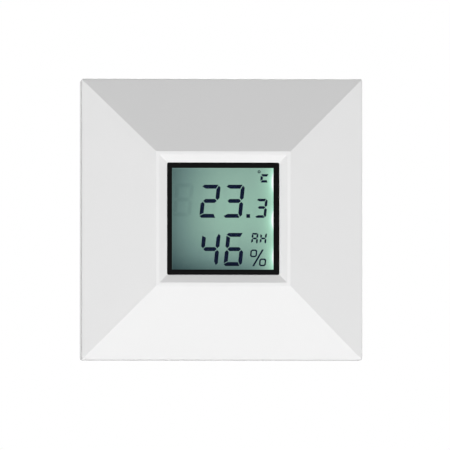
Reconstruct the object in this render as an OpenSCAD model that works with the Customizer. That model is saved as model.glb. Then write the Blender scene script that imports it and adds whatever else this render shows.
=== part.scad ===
// Wall-mounted room sensor for temperature and relative humidity.
// The modules draw in a wall frame: x to the right, y up, z out of the wall into the room.
// in_room() turns that frame so that the wall is the XZ plane and the display faces -Y.
// The origin is on the wall, midway between the two wall screws. Sizes are in millimetres.

/* [Cover] */
// Width and height of the square cover
plate_w = 86; // [82:0.5:96]
// Depth from the wall to the ridge round the window
body_d = 20; // [19:0.5:24]
// Depth of the straight side wall
rim_d = 11; // [9:0.5:13]
// Thickness of the shell
wall = 2; // [1.6:0.1:2.4]
// Radius of the four upright corner edges
corner_r = 0.8; // [0.3:0.1:2]
// Radius of the edge between side wall and slope
edge_r = 0.5; // [0.2:0.1:1.2]
// Gap between the back edge of the cover and the wall
shadow_gap = 0.4; // [0.2:0.1:0.8]

/* [Window] */
// Outer width of the flat ridge round the window
ridge_w = 41; // [40:0.5:46]
// Width of the flat land on the ridge
ridge_land = 1; // [0.6:0.1:1.4]
// Depth of the bevel that leads down to the window
bevel_d = 1; // [0.6:0.1:2.4]
// Width and height of the window
window_w = 34.25; // [33:0.05:36]
// Corner radius of the window
window_r = 0.5; // [0.2:0.1:1]
// Thickness of the lip at the window edge
lip_t = 0.6; // [0.4:0.1:1.2]

/* [Vents] */
// Air slots in the top side and in the bottom side
vent_count = 9; // [5:2:11]
// Width of an air slot
vent_w = 1.6; // [1:0.2:2]
// Length of an air slot
vent_l = 4.2; // [3:0.2:5]
// Distance between air slots
vent_pitch = 4; // [3:0.5:5]
// Gap between the rim of the back plate and the air slots
vent_gap = 0.4; // [0.2:0.1:1]
// Width of the release notch at the bottom edge
notch_w = 8; // [5:1:12]
// Depth of the release notch
notch_d = 1.2; // [0.8:0.1:2]

/* [Display] */
// Width and height of the visible display
view_w = 31; // [29:0.2:32]
// Sideways shift of the visible display
view_shift = -0.1; // [-0.4:0.05:0.4]
// Depth of the black frame below the window edge
frame_recess = 0.3; // [0:0.1:0.5]
// Thickness of the face of the black frame
frame_t = 0.6; // [0.4:0.1:1]
// Thickness of the side walls of the black frame
frame_wall = 1.3; // [1.1:0.1:1.5]
// Gap between the black frame and the window
frame_gap = 0.1; // [0.05:0.05:0.3]
// Gap between the black frame and its pocket in the cover
frame_room = 0.3; // [0.2:0.1:0.5]
// Thickness of the foam gasket behind the window lip
gasket_t = 0.3; // [0.2:0.1:0.5]
// Width of the display glass
glass_w = 35; // [34:0.2:36]
// Height of the front glass
glass_h = 38.4; // [37.8:0.2:39]
// Height of the rear glass
rear_glass_h = 33; // [32.6:0.2:33.6]
// Thickness of each glass
glass_t = 1.1; // [0.7:0.1:1.3]
// Depth of the cell between the two glasses
cell_t = 0.1; // [0.05:0.05:0.2]
// Width of the edge seal of the cell
seal_w = 0.8; // [0.5:0.1:0.9]
// Width and height of the polarizers
polarizer_w = 32.4; // [32.2:0.1:33]
// Thickness of each polarizer
polarizer_t = 0.2; // [0.1:0.05:0.3]
// Gap between the display parts and the black frame
display_fit = 0.15; // [0.1:0.05:0.25]

/* [Figures] */
// Height of the large figures
figure_h = 10.1; // [8:0.1:10.6]
// Width of the large figures
figure_w = 5.6; // [4:0.1:6]
// Stroke of the large figures
figure_stroke = 1.2; // [0.7:0.05:1.4]
// Distance between large figures
figure_pitch = 7.4; // [7:0.1:7.6]
// Left edge of the tens figure
figure_x = -7.2; // [-7.4:0.1:-6.8]
// Foot of the upper row
upper_y = 0.35; // [0:0.05:0.6]
// Foot of the lower row
lower_y = -14.35; // [-14.8:0.05:-14]
// Height of the middle bar of the large figures and letters, as a part of their height
waist = 0.51; // [0.47:0.01:0.55]
// Height of the small figure
tenth_h = 5.85; // [5:0.05:6.4]
// Width of the small figure
tenth_w = 3.3; // [2.6:0.1:3.6]
// Stroke of the small figure
tenth_stroke = 0.82; // [0.4:0.02:0.9]
// Height of the middle bar of the small figure, as a part of its height
tenth_waist = 0.54; // [0.47:0.01:0.57]
// Left edge of the small figure
tenth_x = 9.9; // [9.6:0.1:10.2]
// Side of the decimal point
point_w = 1.15; // [0.8:0.05:1.3]
// Left edge of the decimal point
point_x = 7.2; // [7.1:0.1:7.6]
// Gap between neighbouring segments, as a part of the stroke
segment_gap = 0.21; // [0.12:0.01:0.26]
// Part of the stroke that is cut off the outer corners of a figure
segment_cut = 0.5; // [0.4:0.05:0.7]
// Lean of the figures, sideways per height
slant = 0.1; // [0:0.01:0.15]

/* [Unit signs] */
// Left edge of the degree letter
letter_x = 11.4; // [11:0.1:11.8]
// Foot of the degree letter
letter_y = 11.15; // [10.9:0.05:11.4]
// Width of the degree letter
letter_w = 2.3; // [1.8:0.1:2.6]
// Height of the degree letter
letter_h = 2.55; // [2.2:0.05:2.8]
// Stroke of the degree letter
letter_stroke = 0.72; // [0.3:0.02:0.8]
// Outer radius of the degree ring
degree_r = 0.46; // [0.35:0.01:0.5]
// Stroke of the small rings
ring_stroke = 0.26; // [0.15:0.01:0.32]
// Centre of the degree ring, sideways
degree_x = 11.1; // [10.9:0.1:11.3]
// Centre of the degree ring, upwards
degree_y = 14.4; // [14.3:0.1:14.6]
// Left edge of the humidity letters
humid_x = 8.6; // [8.4:0.1:8.9]
// Foot of the humidity letters
humid_y = -7.65; // [-7.8:0.05:-7.2]
// Width of a humidity letter
humid_w = 2; // [1.6:0.1:2.1]
// Height of a humidity letter
humid_h = 3.4; // [2.8:0.1:3.5]
// Stroke of the humidity letters
humid_stroke = 0.54; // [0.32:0.02:0.6]
// Distance between humidity letters
humid_pitch = 2.6; // [2.5:0.1:2.8]
// Left edge of the percent sign
percent_x = 8; // [7.8:0.1:8.2]
// Foot of the percent sign
percent_y = -14.4; // [-14.6:0.1:-14.2]
// Width of the percent sign
percent_w = 5.1; // [4.9:0.1:5.3]
// Height of the percent sign
percent_h = 5.1; // [4.9:0.1:5.3]
// Width of a ring of the percent sign
percent_ring_w = 2.1; // [1.9:0.1:2.2]
// Height of a ring of the percent sign
percent_ring_h = 2.35; // [2.1:0.05:2.4]
// Stroke of the rings of the percent sign
percent_stroke = 0.44; // [0.3:0.02:0.5]
// Width of the long stroke of the percent sign
slash_w = 0.6; // [0.4:0.02:0.8]

/* [Backlight] */
// Thickness of the diffuser sheet
diffuser_t = 0.3; // [0.2:0.05:0.5]
// Thickness of the light guide
guide_t = 2.5; // [2.2:0.1:3]
// Thickness of the reflector sheet
reflector_t = 0.2; // [0.1:0.05:0.3]
// Thickness of a side LED, seen from the front
led_t = 1.2; // [0.8:0.1:1.3]
// Length of a side LED
led_l = 3; // [2:0.2:4]
// Height of a side LED above the board
led_h = 2; // [1.2:0.1:2.2]
// Distance between side LEDs
led_pitch = 11.6; // [9:0.2:12.6]
// Gap between the LEDs and the light guide
led_gap = 0.1; // [0.05:0.05:0.2]
// Thickness of a contact strip
strip_t = 2.1; // [1.4:0.1:2.2]
// Length of a contact strip
strip_l = 33; // [28:0.5:34]

/* [Main board] */
// Width of the main board
board_w = 64; // [60:0.5:66]
// Reach of the main board below the centre
board_below = 32; // [30:0.5:33]
// Reach of the main board above the black frame
board_margin = 0.9; // [0.5:0.1:1.2]
// Thickness of the main board
board_t = 1.6; // [1:0.1:1.8]
// Corner radius of the boards
board_r = 1.5; // [0.5:0.1:3]
// Half the distance between the board screws, sideways
screw_x = 27; // [25.5:0.5:27.5]
// Distance of the lower board screws below the centre
screw_low = 27; // [25.5:0.5:27.2]
// Distance of the upper board screws above the centre
screw_high = 17; // [14:0.5:18]
// Width of the board tongue that carries the sensor
tongue_w = 8.4; // [7.6:0.2:10]
// Length of the board tongue that carries the sensor
tongue_l = 7; // [6.6:0.2:9]
// Width of the slits round the tongue
slit_w = 1.2; // [0.8:0.1:1.5]
// Width of the bridges that hold the tongue
bridge_w = 1.6; // [1:0.1:2]
// Radius of the pegs of the black frame
peg_r = 0.5; // [0.4:0.05:0.52]
// Reach of the pegs behind the board
peg_out = 0.4; // [0.2:0.1:0.8]

/* [Board parts] */
// Side of the controller package
chip_w = 7; // [6:0.5:8]
// Height of the controller package
chip_h = 1.4; // [1:0.1:1.6]
// Leads on each side of the controller
chip_leads_side = 12; // [8:1:12]
// Distance between controller leads
chip_pitch = 0.5; // [0.4:0.05:0.5]
// Width of a controller lead
chip_lead_w = 0.22; // [0.16:0.02:0.3]
// Length of the bus transceiver
bus_l = 4.9; // [4.8:0.1:5.4]
// Width of the bus transceiver
bus_w = 3.9; // [3.6:0.1:4.2]
// Height of the bus transceiver
bus_h = 1.5; // [1.2:0.1:1.8]
// Distance between transceiver leads
bus_pitch = 1.27; // [1.1:0.01:1.27]
// Width of a transceiver lead
bus_lead_w = 0.42; // [0.3:0.02:0.5]
// Length of the voltage regulator
reg_l = 6.5; // [6.2:0.1:6.8]
// Width of the voltage regulator
reg_w = 3.5; // [3.2:0.1:3.8]
// Height of the voltage regulator
reg_h = 1.6; // [1.4:0.1:1.8]
// Distance between regulator leads
reg_pitch = 2.3; // [1.9:0.1:2.4]
// Width of a regulator lead
reg_lead_w = 0.7; // [0.5:0.05:0.8]
// Width of the cooling lead of the regulator
reg_tab_w = 3; // [2.4:0.1:3.2]
// Length of the crystal can
crystal_l = 5; // [3.2:0.2:6]
// Width of the crystal can
crystal_w = 3.2; // [2.5:0.1:3.5]
// Height of the crystal can
crystal_h = 1; // [0.7:0.1:1.3]
// Side of the inductor
coil_w = 5; // [4:0.2:6]
// Height of the inductor
coil_h = 2.4; // [1.8:0.1:2.8]
// Number of capacitors in the row
cap_count = 6; // [3:1:8]
// Length of a capacitor
cap_l = 2; // [1.6:0.1:2.4]
// Width of a capacitor
cap_w = 1.25; // [0.8:0.05:1.4]
// Height of a capacitor
cap_h = 0.9; // [0.6:0.1:1.2]
// Distance between capacitors
cap_pitch = 3.6; // [3:0.1:4]
// Number of resistors in the row
res_count = 8; // [4:1:10]
// Length of a resistor
res_l = 1.6; // [1.2:0.1:2]
// Width of a resistor
res_w = 0.85; // [0.6:0.05:1]
// Height of a resistor
res_h = 0.45; // [0.3:0.05:0.6]
// Distance between resistors
res_pitch = 2.6; // [2.4:0.1:3]
// Side of the sensor package
sensor_w = 3; // [2.4:0.1:4]
// Height of the sensor package
sensor_h = 1.1; // [0.8:0.1:1.4]
// Distance of the sensor from the lower board edge
sensor_up = 3.2; // [2.6:0.1:3.6]
// Radius of the filter membrane on the sensor
membrane_r = 1; // [0.7:0.05:1.15]
// Thickness of the filter membrane
membrane_t = 0.2; // [0.1:0.05:0.4]

/* [Program switch] */
// Side of the switch body
switch_w = 6; // [5.2:0.2:7]
// Height of the switch body
switch_h = 3.4; // [3:0.1:4]
// Thickness of the face of the switch body
switch_face = 0.5; // [0.3:0.1:0.7]
// Radius of the button
button_r = 1.7; // [1.2:0.05:2]
// Reach of the button in front of the switch body
button_out = 1; // [0.6:0.1:1.6]
// Radius of the collar that keeps the button in
collar_r = 2.15; // [2.1:0.05:2.3]
// Thickness of the collar
collar_t = 0.55; // [0.4:0.05:0.7]
// Depth of the room for the collar and the snap dome
collar_room = 1.2; // [1.1:0.05:1.5]
// Radius of the snap dome under the button
dome_r = 2; // [1.6:0.05:2.05]
// Thickness of the snap dome
dome_t = 0.1; // [0.06:0.02:0.16]
// Radius of the flat top of the snap dome
dome_flat = 0.7; // [0.4:0.05:0.9]
// Gap round the button and its collar
button_fit = 0.06; // [0.03:0.01:0.1]
// Length of the status LED
lamp_l = 2; // [1.6:0.1:2.4]
// Width of the status LED
lamp_w = 1.25; // [0.8:0.05:1.4]
// Height of the status LED
lamp_h = 0.8; // [0.5:0.1:1]

/* [Screws] */
// Radius of a screw shank
screw_r = 1.05; // [0.9:0.05:1.2]
// Radius of a screw head
head_r = 2; // [1.7:0.1:2.2]
// Height of a screw head
head_h = 1.4; // [1:0.1:1.6]
// Thread length in the bosses of the cover
screw_l = 3.3; // [2.6:0.1:3.6]
// Thread length in the posts of the back plate
short_screw_l = 2.2; // [1.8:0.1:2.4]
// Gap at the end of a screw hole
screw_end = 0.3; // [0.2:0.1:0.5]
// Gap between thread and pilot hole
thread_gap = 0.04; // [0.02:0.01:0.08]
// Gap between shank and board hole
hole_gap = 0.2; // [0.1:0.05:0.4]
// Radius of a screw boss
boss_r = 2.4; // [2:0.1:2.6]
// Width of the drive slot
drive_w = 0.6; // [0.4:0.05:0.8]
// Depth of the drive slot
drive_d = 0.6; // [0.4:0.05:0.8]

/* [Back plate] */
// Thickness of the back plate
base_t = 1.8; // [1.4:0.1:2.2]
// Gap between back plate and cover
base_fit = 0.4; // [0.2:0.1:0.6]
// Corner radius of the back plate
base_r = 1; // [0.5:0.1:3]
// Thickness of the rim of the back plate
rim_t = 1.4; // [1:0.1:1.8]
// Depth of the rim of the back plate
base_rim_d = 3.4; // [2.8:0.1:3.8]
// Distance between the wall screws
slot_spacing = 60.3; // [60:0.1:61]
// Width of a wall-screw slot
slot_w = 4.2; // [3.4:0.1:5]
// Length of a wall-screw slot
slot_l = 8; // [6:0.5:10]
// Width of the collar round a slot
slot_collar = 2.5; // [1.5:0.1:3]
// Height of the collars on the back plate
collar_h = 0.8; // [0.4:0.1:1.2]
// Width of the cable entry
entry_w = 34; // [26:1:38]
// Reach of the cable entry above the centre
entry_up = 9; // [6:0.5:9.5]
// Reach of the cable entry below the centre
entry_down = 13; // [8:0.5:16]
// Corner radius of the cable entry
entry_r = 3; // [1:0.5:5]
// Width of the collar round the cable entry
entry_collar = 1.2; // [0.8:0.1:1.6]
// Depth of the recesses in the wall side of the back plate
relief_d = 0.4; // [0.2:0.1:0.5]
// Width of the flat border round the recesses
relief_edge = 4; // [3:0.5:6]
// Width of the flat land between the recesses and the cable entry
relief_land = 4; // [3:0.5:6]
// Width of the flat rib between the lower recesses
relief_rib = 9; // [6:1:12]
// Corner radius of the recesses
relief_r = 2; // [1:0.5:4]
// Length of the arrow that points up
arrow_l = 8; // [5:0.5:10]
// Width of the head of the arrow
arrow_w = 6; // [4:0.5:8]
// Width of the shaft of the arrow
arrow_stem = 2; // [1:0.25:3]
// Radius of the round marks left by the pins of the mould
pin_mark_r = 2.5; // [1.5:0.5:3.5]
// Depth of the marks left by the pins of the mould
pin_mark_d = 0.15; // [0.1:0.05:0.3]
// Distance of the snap hooks from the centre line
hook_y = 24; // [16:1:28]
// Width of a snap hook
hook_w = 7; // [5:0.5:9]
// Thickness of a snap hook
hook_t = 1.2; // [0.9:0.1:1.6]
// Depth at which the nose of a hook holds
hook_z = 5.2; // [4.4:0.1:5.6]
// Reach of the nose into the cover
hook_bite = 0.7; // [0.4:0.1:0.9]
// Length of the nose
nose_l = 2.2; // [1.6:0.1:2.6]
// Height of the square edge of the nose
nose_edge = 0.5; // [0.3:0.1:0.8]
// Gap round the nose in its pocket
pocket_gap = 0.2; // [0.1:0.05:0.4]
// Width of a stop rib in the cover
rib_w = 3; // [2:0.5:4]
// Reach of a stop rib from the side wall
rib_reach = 1.6; // [1.2:0.1:2]
// Distance of the stop ribs from the centre line
rib_at = 34; // [31:0.5:35]

/* [Terminals] */
// Distance between poles
pole_pitch = 5; // [4.8:0.1:5.6]
// Gap between the main board and the terminal block
block_gap = 1; // [0.5:0.1:1.4]
// Thickness of the front and back walls of the terminal block
block_wall = 1.2; // [0.8:0.1:1.5]
// Thickness of the end walls of the terminal block
block_end = 0.8; // [0.5:0.1:1.2]
// Width of a clamp cage
cage_w = 3.6; // [3.4:0.1:4]
// Depth of a clamp cage, front to back
cage_d = 4.4; // [4:0.1:4.8]
// Thickness of the cage walls
cage_wall = 0.5; // [0.4:0.05:0.6]
// Thickness of the threaded end of a cage
cage_nut = 0.8; // [0.6:0.1:1]
// Gap under a cage at rest
cage_lift = 0.2; // [0.1:0.05:0.3]
// Room for the wire under the contact bar
wire_gap = 2; // [1.8:0.1:2.3]
// Width of the wire entry
wire_w = 2.4; // [2:0.1:2.5]
// Travel of a cage
cage_travel = 1.3; // [1:0.1:1.5]
// Gap round sliding terminal parts
slide_fit = 0.1; // [0.05:0.01:0.12]
// Thickness of a contact bar
bar_t = 0.6; // [0.4:0.1:0.8]
// Width of a contact bar
bar_w = 2.2; // [1.6:0.1:2.3]
// Width of the soldered leg of a contact bar
leg_w = 1.2; // [0.8:0.1:1.4]
// Gap between a cage and the leg behind it
leg_gap = 0.4; // [0.3:0.1:0.6]
// Gap between the contact bar and the threaded end of a cage
bar_gap = 0.3; // [0.2:0.1:0.5]
// Thickness of the web under a screw head
web_t = 0.4; // [0.3:0.1:0.6]
// Radius of a clamp screw shank
clamp_r = 1.2; // [1:0.05:1.25]
// Radius of a clamp screw head
clamp_head_r = 1.7; // [1.6:0.05:1.75]
// Height of a clamp screw head
clamp_head_h = 0.9; // [0.7:0.1:1.1]
// Radius of the opening over a clamp screw
access_r = 1.4; // [1.2:0.05:1.5]
// Thickness of the edge over a clamp screw
access_t = 0.4; // [0.2:0.1:0.6]
// Gap between a clamp screw and its thread
clamp_fit = 0.05; // [0.02:0.01:0.08]
// Gap at the ends of a clamp screw
clamp_end = 0.05; // [0.02:0.01:0.1]

/* [Terminal board] */
// Width of the terminal board
lower_board_w = 44; // [42:0.5:50]
// Lower edge of the terminal board
lower_board_y = 12; // [11.6:0.1:12.6]
// Reach of the terminal board behind the terminal block
lower_board_back = 2; // [1:0.1:3]
// Thickness of the terminal board
lower_board_t = 1.6; // [1:0.1:1.8]
// Height of the posts under the terminal board
post_h = 1.6; // [1.4:0.1:1.8]
// Radius of a post
post_r = 2.4; // [2.2:0.1:2.8]
// Half the distance between the posts
post_x = 17.5; // [16:0.5:18]
// Height of the rests at the lower edge above that edge
rest_up = 2.5; // [2:0.1:3]
// Reach of soldered tails below the terminal board
tail = 0.8; // [0.4:0.1:0.9]

/* [Plug connection] */
// Columns of pins
pin_columns = 4; // [2:1:6]
// Distance between pins
pin_pitch = 2; // [1.8:0.1:2.2]
// Side of a pin
pin_w = 0.5; // [0.35:0.05:0.6]
// Gap between pin and socket
pin_gap = 0.1; // [0.05:0.05:0.15]
// Height of the pin base
pin_base_h = 1.6; // [1:0.1:2]
// Gap between pin base and socket
plug_gap = 0.2; // [0.1:0.1:0.4]
// Gap between pin tip and main board
pin_end = 0.6; // [0.4:0.1:0.8]
// Plastic round the outer pins
plug_edge = 0.3; // [0.2:0.1:0.5]
// Centre of the plug connection above the lower edge of the terminal board
plug_up = 3.6; // [3.2:0.1:4]

/* [Hidden] */
$fn = 48;
edge_steps = 4;
past = 1;
half = plate_w / 2;
inside = half - wall;
ridge_half = ridge_w / 2;
bevel_half = ridge_half - ridge_land;
slope = (body_d - rim_d) / (half - ridge_half);
slope_a = atan(slope);
slope_wall = wall / cos(slope_a);

window_z = body_d - bevel_d;
lip_z = window_z - lip_t;
ceiling_half = ridge_half + (body_d - slope_wall - lip_z) / slope;
ceiling_low = body_d - (inside - ridge_half) * slope - slope_wall;

frame_w = glass_w + 2 * display_fit + 2 * frame_wall;
frame_h = glass_h + 2 * display_fit + 2 * frame_wall;
frame_top = window_z - frame_recess;
shoulder_z = lip_z - gasket_t;
display_z = shoulder_z - frame_t;
front_glass_z = display_z - polarizer_t;
cell_z = front_glass_z - glass_t;
rear_glass_z = cell_z - cell_t;
rear_film_z = rear_glass_z - glass_t;
diffuser_z = rear_film_z - polarizer_t;
guide_z = diffuser_z - diffuser_t;
reflector_z = guide_z - guide_t;
board_z = reflector_z - reflector_t;
rear_z = board_z - board_t;
guide_right = glass_w / 2 - led_t - led_gap;
guide_left = -glass_w / 2;
strip_y = (rear_glass_h + glass_h) / 4;

board_up = frame_h / 2 + board_margin;
board_h = board_up + board_below;
board_y = (board_up - board_below) / 2;
screw_places = [
    [-screw_x, -screw_low],
    [screw_x, -screw_low],
    [-screw_x, screw_high],
    [screw_x, screw_high]
];
sensor_y = sensor_up - board_below;
chip_stand = 0.1;
lead_t = 0.15;
lead_out = 1;
lead_foot = 0.45;
chip_at = [-9, 2];
bus_at = [10, 3];
reg_at = [20, 10];
crystal_at = [-19, 3];
coil_at = [21, 0.5];
cap_at = [-24, -9];
res_at = [-24, -13];
switch_at = [14, -20];
lamp_at = [21, -20];

base_half = inside - base_fit;
lower_board_z = base_t + post_h;
terminal_z = lower_board_z + lower_board_t;
block_front = board_up + block_gap;
pole_y = block_front + block_wall + slide_fit + cage_d / 2;
leg_y = pole_y + cage_d / 2 + leg_gap;
block_back = leg_y + bar_t + slide_fit + block_wall;
lower_board_up = block_back + lower_board_back;
lower_board_h = lower_board_up - lower_board_y;
rest_y = lower_board_y + rest_up;
plug_y = lower_board_y + plug_up;
cage_z = terminal_z + cage_lift;
cage_floor = cage_z + cage_wall;
bar_z = cage_floor + wire_gap;
bar_top = bar_z + bar_t;
cage_roof = bar_top + bar_gap;
cage_top = cage_roof + cage_nut;
room_top = cage_top + cage_travel + slide_fit;
clamp_head_z = room_top + web_t;
well_top = clamp_head_z + clamp_end + clamp_head_h + slide_fit;
block_top = well_top + access_t;
block_w = 3 * pole_pitch + cage_w + 2 * slide_fit + 2 * block_end;

shell_white = [0.93, 0.93, 0.92];
plate_white = [0.86, 0.87, 0.86];
frame_black = [0.06, 0.06, 0.07];
film_grey = [0.72, 0.80, 0.76, 0.25];
glass_clear = [0.80, 0.90, 0.88, 0.30];
ink_navy = [0.04, 0.08, 0.18];
ink_faint = [0.40, 0.52, 0.50];
light_green = [0.60, 0.78, 0.70];
board_green = [0.06, 0.33, 0.20];
package_black = [0.10, 0.10, 0.11];
tin = [0.76, 0.77, 0.78];
brass = [0.80, 0.66, 0.35];
steel = [0.66, 0.67, 0.69];
terminal_green = [0.12, 0.45, 0.26];

// Turns the wall frame into the room frame
module in_room() {
    rotate([90, 0, 0])
        children();
}

// Rectangle with rounded corners, centred
module rounded(w, h, r) {
    square([w - 2 * r, h], center = true);
    square([w, h - 2 * r], center = true);
    for (i = [-1, 1], j = [-1, 1])
        translate([i * (w / 2 - r), j * (h / 2 - r)])
            circle(r);
}

// Slot with round ends, lengthways along x, centred
module slot(l, w) {
    square([l - w, w], center = true);
    for (i = [-1, 1])
        translate([i * (l - w) / 2, 0])
            circle(w / 2);
}

// Plate with rounded corners between two depths
module plate(w, h, r, z0, z1) {
    translate([0, 0, z0])
        linear_extrude(z1 - z0)
            rounded(w, h, r);
}

// Plain block between two depths, centred on x and y
module block(w, h, z0, z1) {
    translate([-w / 2, -h / 2, z0])
        cube([w, h, z1 - z0]);
}

// Cylinder along the depth between two depths
module post(r, z0, z1) {
    translate([0, 0, z0])
        cylinder(h = z1 - z0, r = r);
}

// Rectangular ring between two depths
module ring(w, h, inner_w, inner_h, z0, z1) {
    difference() {
        block(w, h, z0, z1);
        block(inner_w, inner_h, z0 - past, z1 + past);
    }
}

// A right-hand side profile closed by its mirror image
function closed(points) =
    concat(points, [for (i = [len(points) - 1:-1:0]) [-points[i][0], points[i][1]]]);

// Solid that shows the same profile from all four sides, mitred at the corners
module mitred(profile) {
    intersection() {
        rotate([90, 0, 0])
            linear_extrude(2 * plate_w, center = true)
                polygon(profile);
        rotate([90, 0, 90])
            linear_extrude(2 * plate_w, center = true)
                polygon(profile);
    }
}

// Side profile of the cover: straight wall, rounded edge, slope, ridge
function cover_profile() =
    let (turn = 90 - slope_a, step = turn / edge_steps, low = rim_d - edge_r * tan(turn / 2))
    closed(concat(
        [[half, shadow_gap]],
        [for (i = [0:edge_steps]) [half - edge_r + edge_r * cos(step * i), low + edge_r * sin(step * i)]],
        [[ridge_half, body_d]]
    ));

// Side profile of the room inside the cover
function room_profile() =
    closed([[inside, -past], [inside, ceiling_low], [ceiling_half, lip_z]]);

// Side profile of the bevel that leads down to the window
function bevel_profile() =
    let (run = (bevel_half - window_w / 2) / bevel_d)
    closed([[window_w / 2, window_z], [bevel_half + run * past, body_d + past]]);

module cover_outside() {
    intersection() {
        mitred(cover_profile());
        plate(plate_w, plate_w, corner_r, 0, body_d + past);
    }
}

module cover_bosses() {
    for (p = screw_places)
        translate(p)
            post(boss_r, board_z, body_d);
}

// Ribs that rest on the rim of the back plate
module stop_ribs() {
    for (a = [0, 90, 180, 270], s = [-1, 1])
        rotate([0, 0, a])
            translate([inside - rib_reach, s * rib_at - rib_w / 2, base_rim_d])
                cube([rib_reach + past, rib_w, body_d]);
}

module hook_pockets() {
    for (i = [0, 180], s = [-1, 1])
        rotate([0, 0, i])
            translate([inside - past, s * hook_y - hook_w / 2 - pocket_gap, hook_z - pocket_gap])
                cube([past + hook_bite + pocket_gap, hook_w + 2 * pocket_gap, nose_l + 2 * pocket_gap]);
}

module air_slots() {
    middle_z = base_rim_d + vent_gap + vent_l / 2;
    for (a = [0, 180], i = [0:vent_count - 1])
        rotate([0, 0, a])
            translate([(i - (vent_count - 1) / 2) * vent_pitch, half + past, middle_z])
                rotate([90, 90, 0])
                    linear_extrude(wall + 2 * past)
                        slot(vent_l, vent_w);
}

module front_bezel() {
    color(shell_white)
        in_room()
            difference() {
                cover_outside();
                difference() {
                    union() {
                        mitred(room_profile());
                        block(frame_w + 2 * frame_room, frame_h + 2 * frame_room, board_z, lip_z);
                    }
                    cover_bosses();
                    stop_ribs();
                }
                mitred(bevel_profile());
                plate(window_w, window_w, window_r, lip_z - past, window_z + past * bevel_d / 4);
                for (p = screw_places)
                    translate(p)
                        post(screw_r + thread_gap, board_z - past, board_z + screw_l + screw_end);
                hook_pockets();
                air_slots();
                translate([0, -half + wall / 2, 0])
                    block(notch_w, wall + 2 * past, 0, shadow_gap + notch_d);
            }
}

module lcd_gasket() {
    color(package_black)
        in_room()
            ring(frame_w, frame_h, window_w, window_w, shoulder_z, lip_z);
}

module lcd_frame() {
    rim_w = window_w - 2 * frame_gap;
    color(frame_black)
        in_room() {
            difference() {
                union() {
                    block(frame_w, frame_h, board_z, shoulder_z);
                    plate(rim_w, rim_w, window_r, display_z, frame_top);
                }
                block(glass_w + 2 * display_fit, glass_h + 2 * display_fit, board_z - past, display_z);
                translate([view_shift, 0, 0])
                    block(view_w, view_w, board_z, body_d);
            }
            for (i = [-1, 1], j = [-1, 1])
                translate([i * (frame_w - frame_wall) / 2, j * (frame_h - frame_wall) / 2, 0])
                    post(peg_r, rear_z - peg_out, board_z);
        }
}

module lcd_front_polarizer() {
    color(film_grey)
        in_room()
            block(polarizer_w, polarizer_w, front_glass_z, display_z);
}

module lcd_front_glass() {
    color(glass_clear)
        in_room()
            block(glass_w, glass_h, cell_z, front_glass_z);
}

module lcd_seal() {
    inner_w = glass_w - 2 * seal_w;
    inner_h = rear_glass_h - 2 * seal_w;
    color(film_grey)
        in_room()
            ring(glass_w, rear_glass_h, inner_w, inner_h, rear_glass_z, cell_z);
}

// Upright segment shapes of a figure, with the corner at the lower left.
// A long cut leaves the left corner to the end bar, and a steep cut leaves the right one to the side bar.
function end_bar(w, h, t) =
    let (c = segment_cut * t, right = w - segment_gap * t / 2)
    [[0, h - c], [c, h], [right - c, h], [right - t, h - t], [t, h - t]];

function right_bar(w, h, t, m) =
    let (c = segment_cut * t, top = h - segment_gap * t, low = m + segment_gap * t)
    [
        [w - c, top], [w, top - c], [w, low + t / 2],
        [w - t / 2, low], [w - t, low + t / 2], [w - t, top - t]
    ];

function left_bar(h, t, m) =
    let (c = segment_cut * t, top = h - segment_gap * t, low = m + segment_gap * t)
    [[0, top - c], [t, top - t], [t, low + t / 2], [t / 2, low], [0, low + t / 2]];

function middle_bar(w, t, m) =
    let (g = segment_gap * t / 2)
    [
        [t / 2 + g, m], [t + g, m + t / 2], [w - t - g, m + t / 2],
        [w - t / 2 - g, m], [w - t - g, m - t / 2], [t + g, m - t / 2]
    ];

function under(points, h) = [for (p = points) [p[0], h - p[1]]];
function leaning(points) = [for (p = points) [p[0] + slant * p[1], p[1]]];

function segment(name, w, h, t, m) =
    name == "a" ? end_bar(w, h, t) :
    name == "b" ? right_bar(w, h, t, m) :
    name == "c" ? under(right_bar(w, h, t, h - m), h) :
    name == "d" ? under(end_bar(w, h, t), h) :
    name == "e" ? under(left_bar(h, t, h - m), h) :
    name == "f" ? left_bar(h, t, m) :
    middle_bar(w, t, m);

// Some segments of a figure, leaning, with its foot at a place
module figure(names, place, w, h, t, middle = waist) {
    translate(place)
        for (s = names)
            polygon(leaning(segment(s, w, h, t, middle * h)));
}

// The other segments of a figure
function unlit(names) = [for (s = "abcdefg") if (len(search(s, names)) == 0) s];

module large(names, column, y) {
    figure(names, [figure_x + column * figure_pitch, y], figure_w, figure_h, figure_stroke);
}

module small(names) {
    figure(names, [tenth_x, upper_y], tenth_w, tenth_h, tenth_stroke, tenth_waist);
}

// Corner points of a rectangle with cut corners
function cut_bar(x, y, w, h, c) =
    [
        [x + c, y], [x + w - c, y], [x + w, y + c], [x + w, y + h - c],
        [x + w - c, y + h], [x + c, y + h], [x, y + h - c], [x, y + c]
    ];

// End bar of the degree letter: pointed at the left, cut back at the free end
function letter_bar(w, h, t) =
    let (c = segment_cut * t)
    [[c / 2 + t / 8, h], [w, h], [w - c, h - t], [c + t / 3, h - t], [c / 2, h - c / 2]];

module degree_sign() {
    end = letter_bar(letter_w, letter_h, letter_stroke);
    side_y = (segment_cut + segment_gap) * letter_stroke;
    side_in = (1 + segment_gap) * letter_stroke;
    translate([degree_x, degree_y])
        difference() {
            circle(degree_r);
            circle(degree_r - ring_stroke);
        }
    translate([letter_x, letter_y]) {
        polygon(leaning(end));
        polygon(leaning(under(end, letter_h)));
        polygon(leaning([
            [0, side_y], [letter_stroke, side_in],
            [letter_stroke, letter_h - side_in], [0, letter_h - side_y]
        ]));
    }
}

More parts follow.
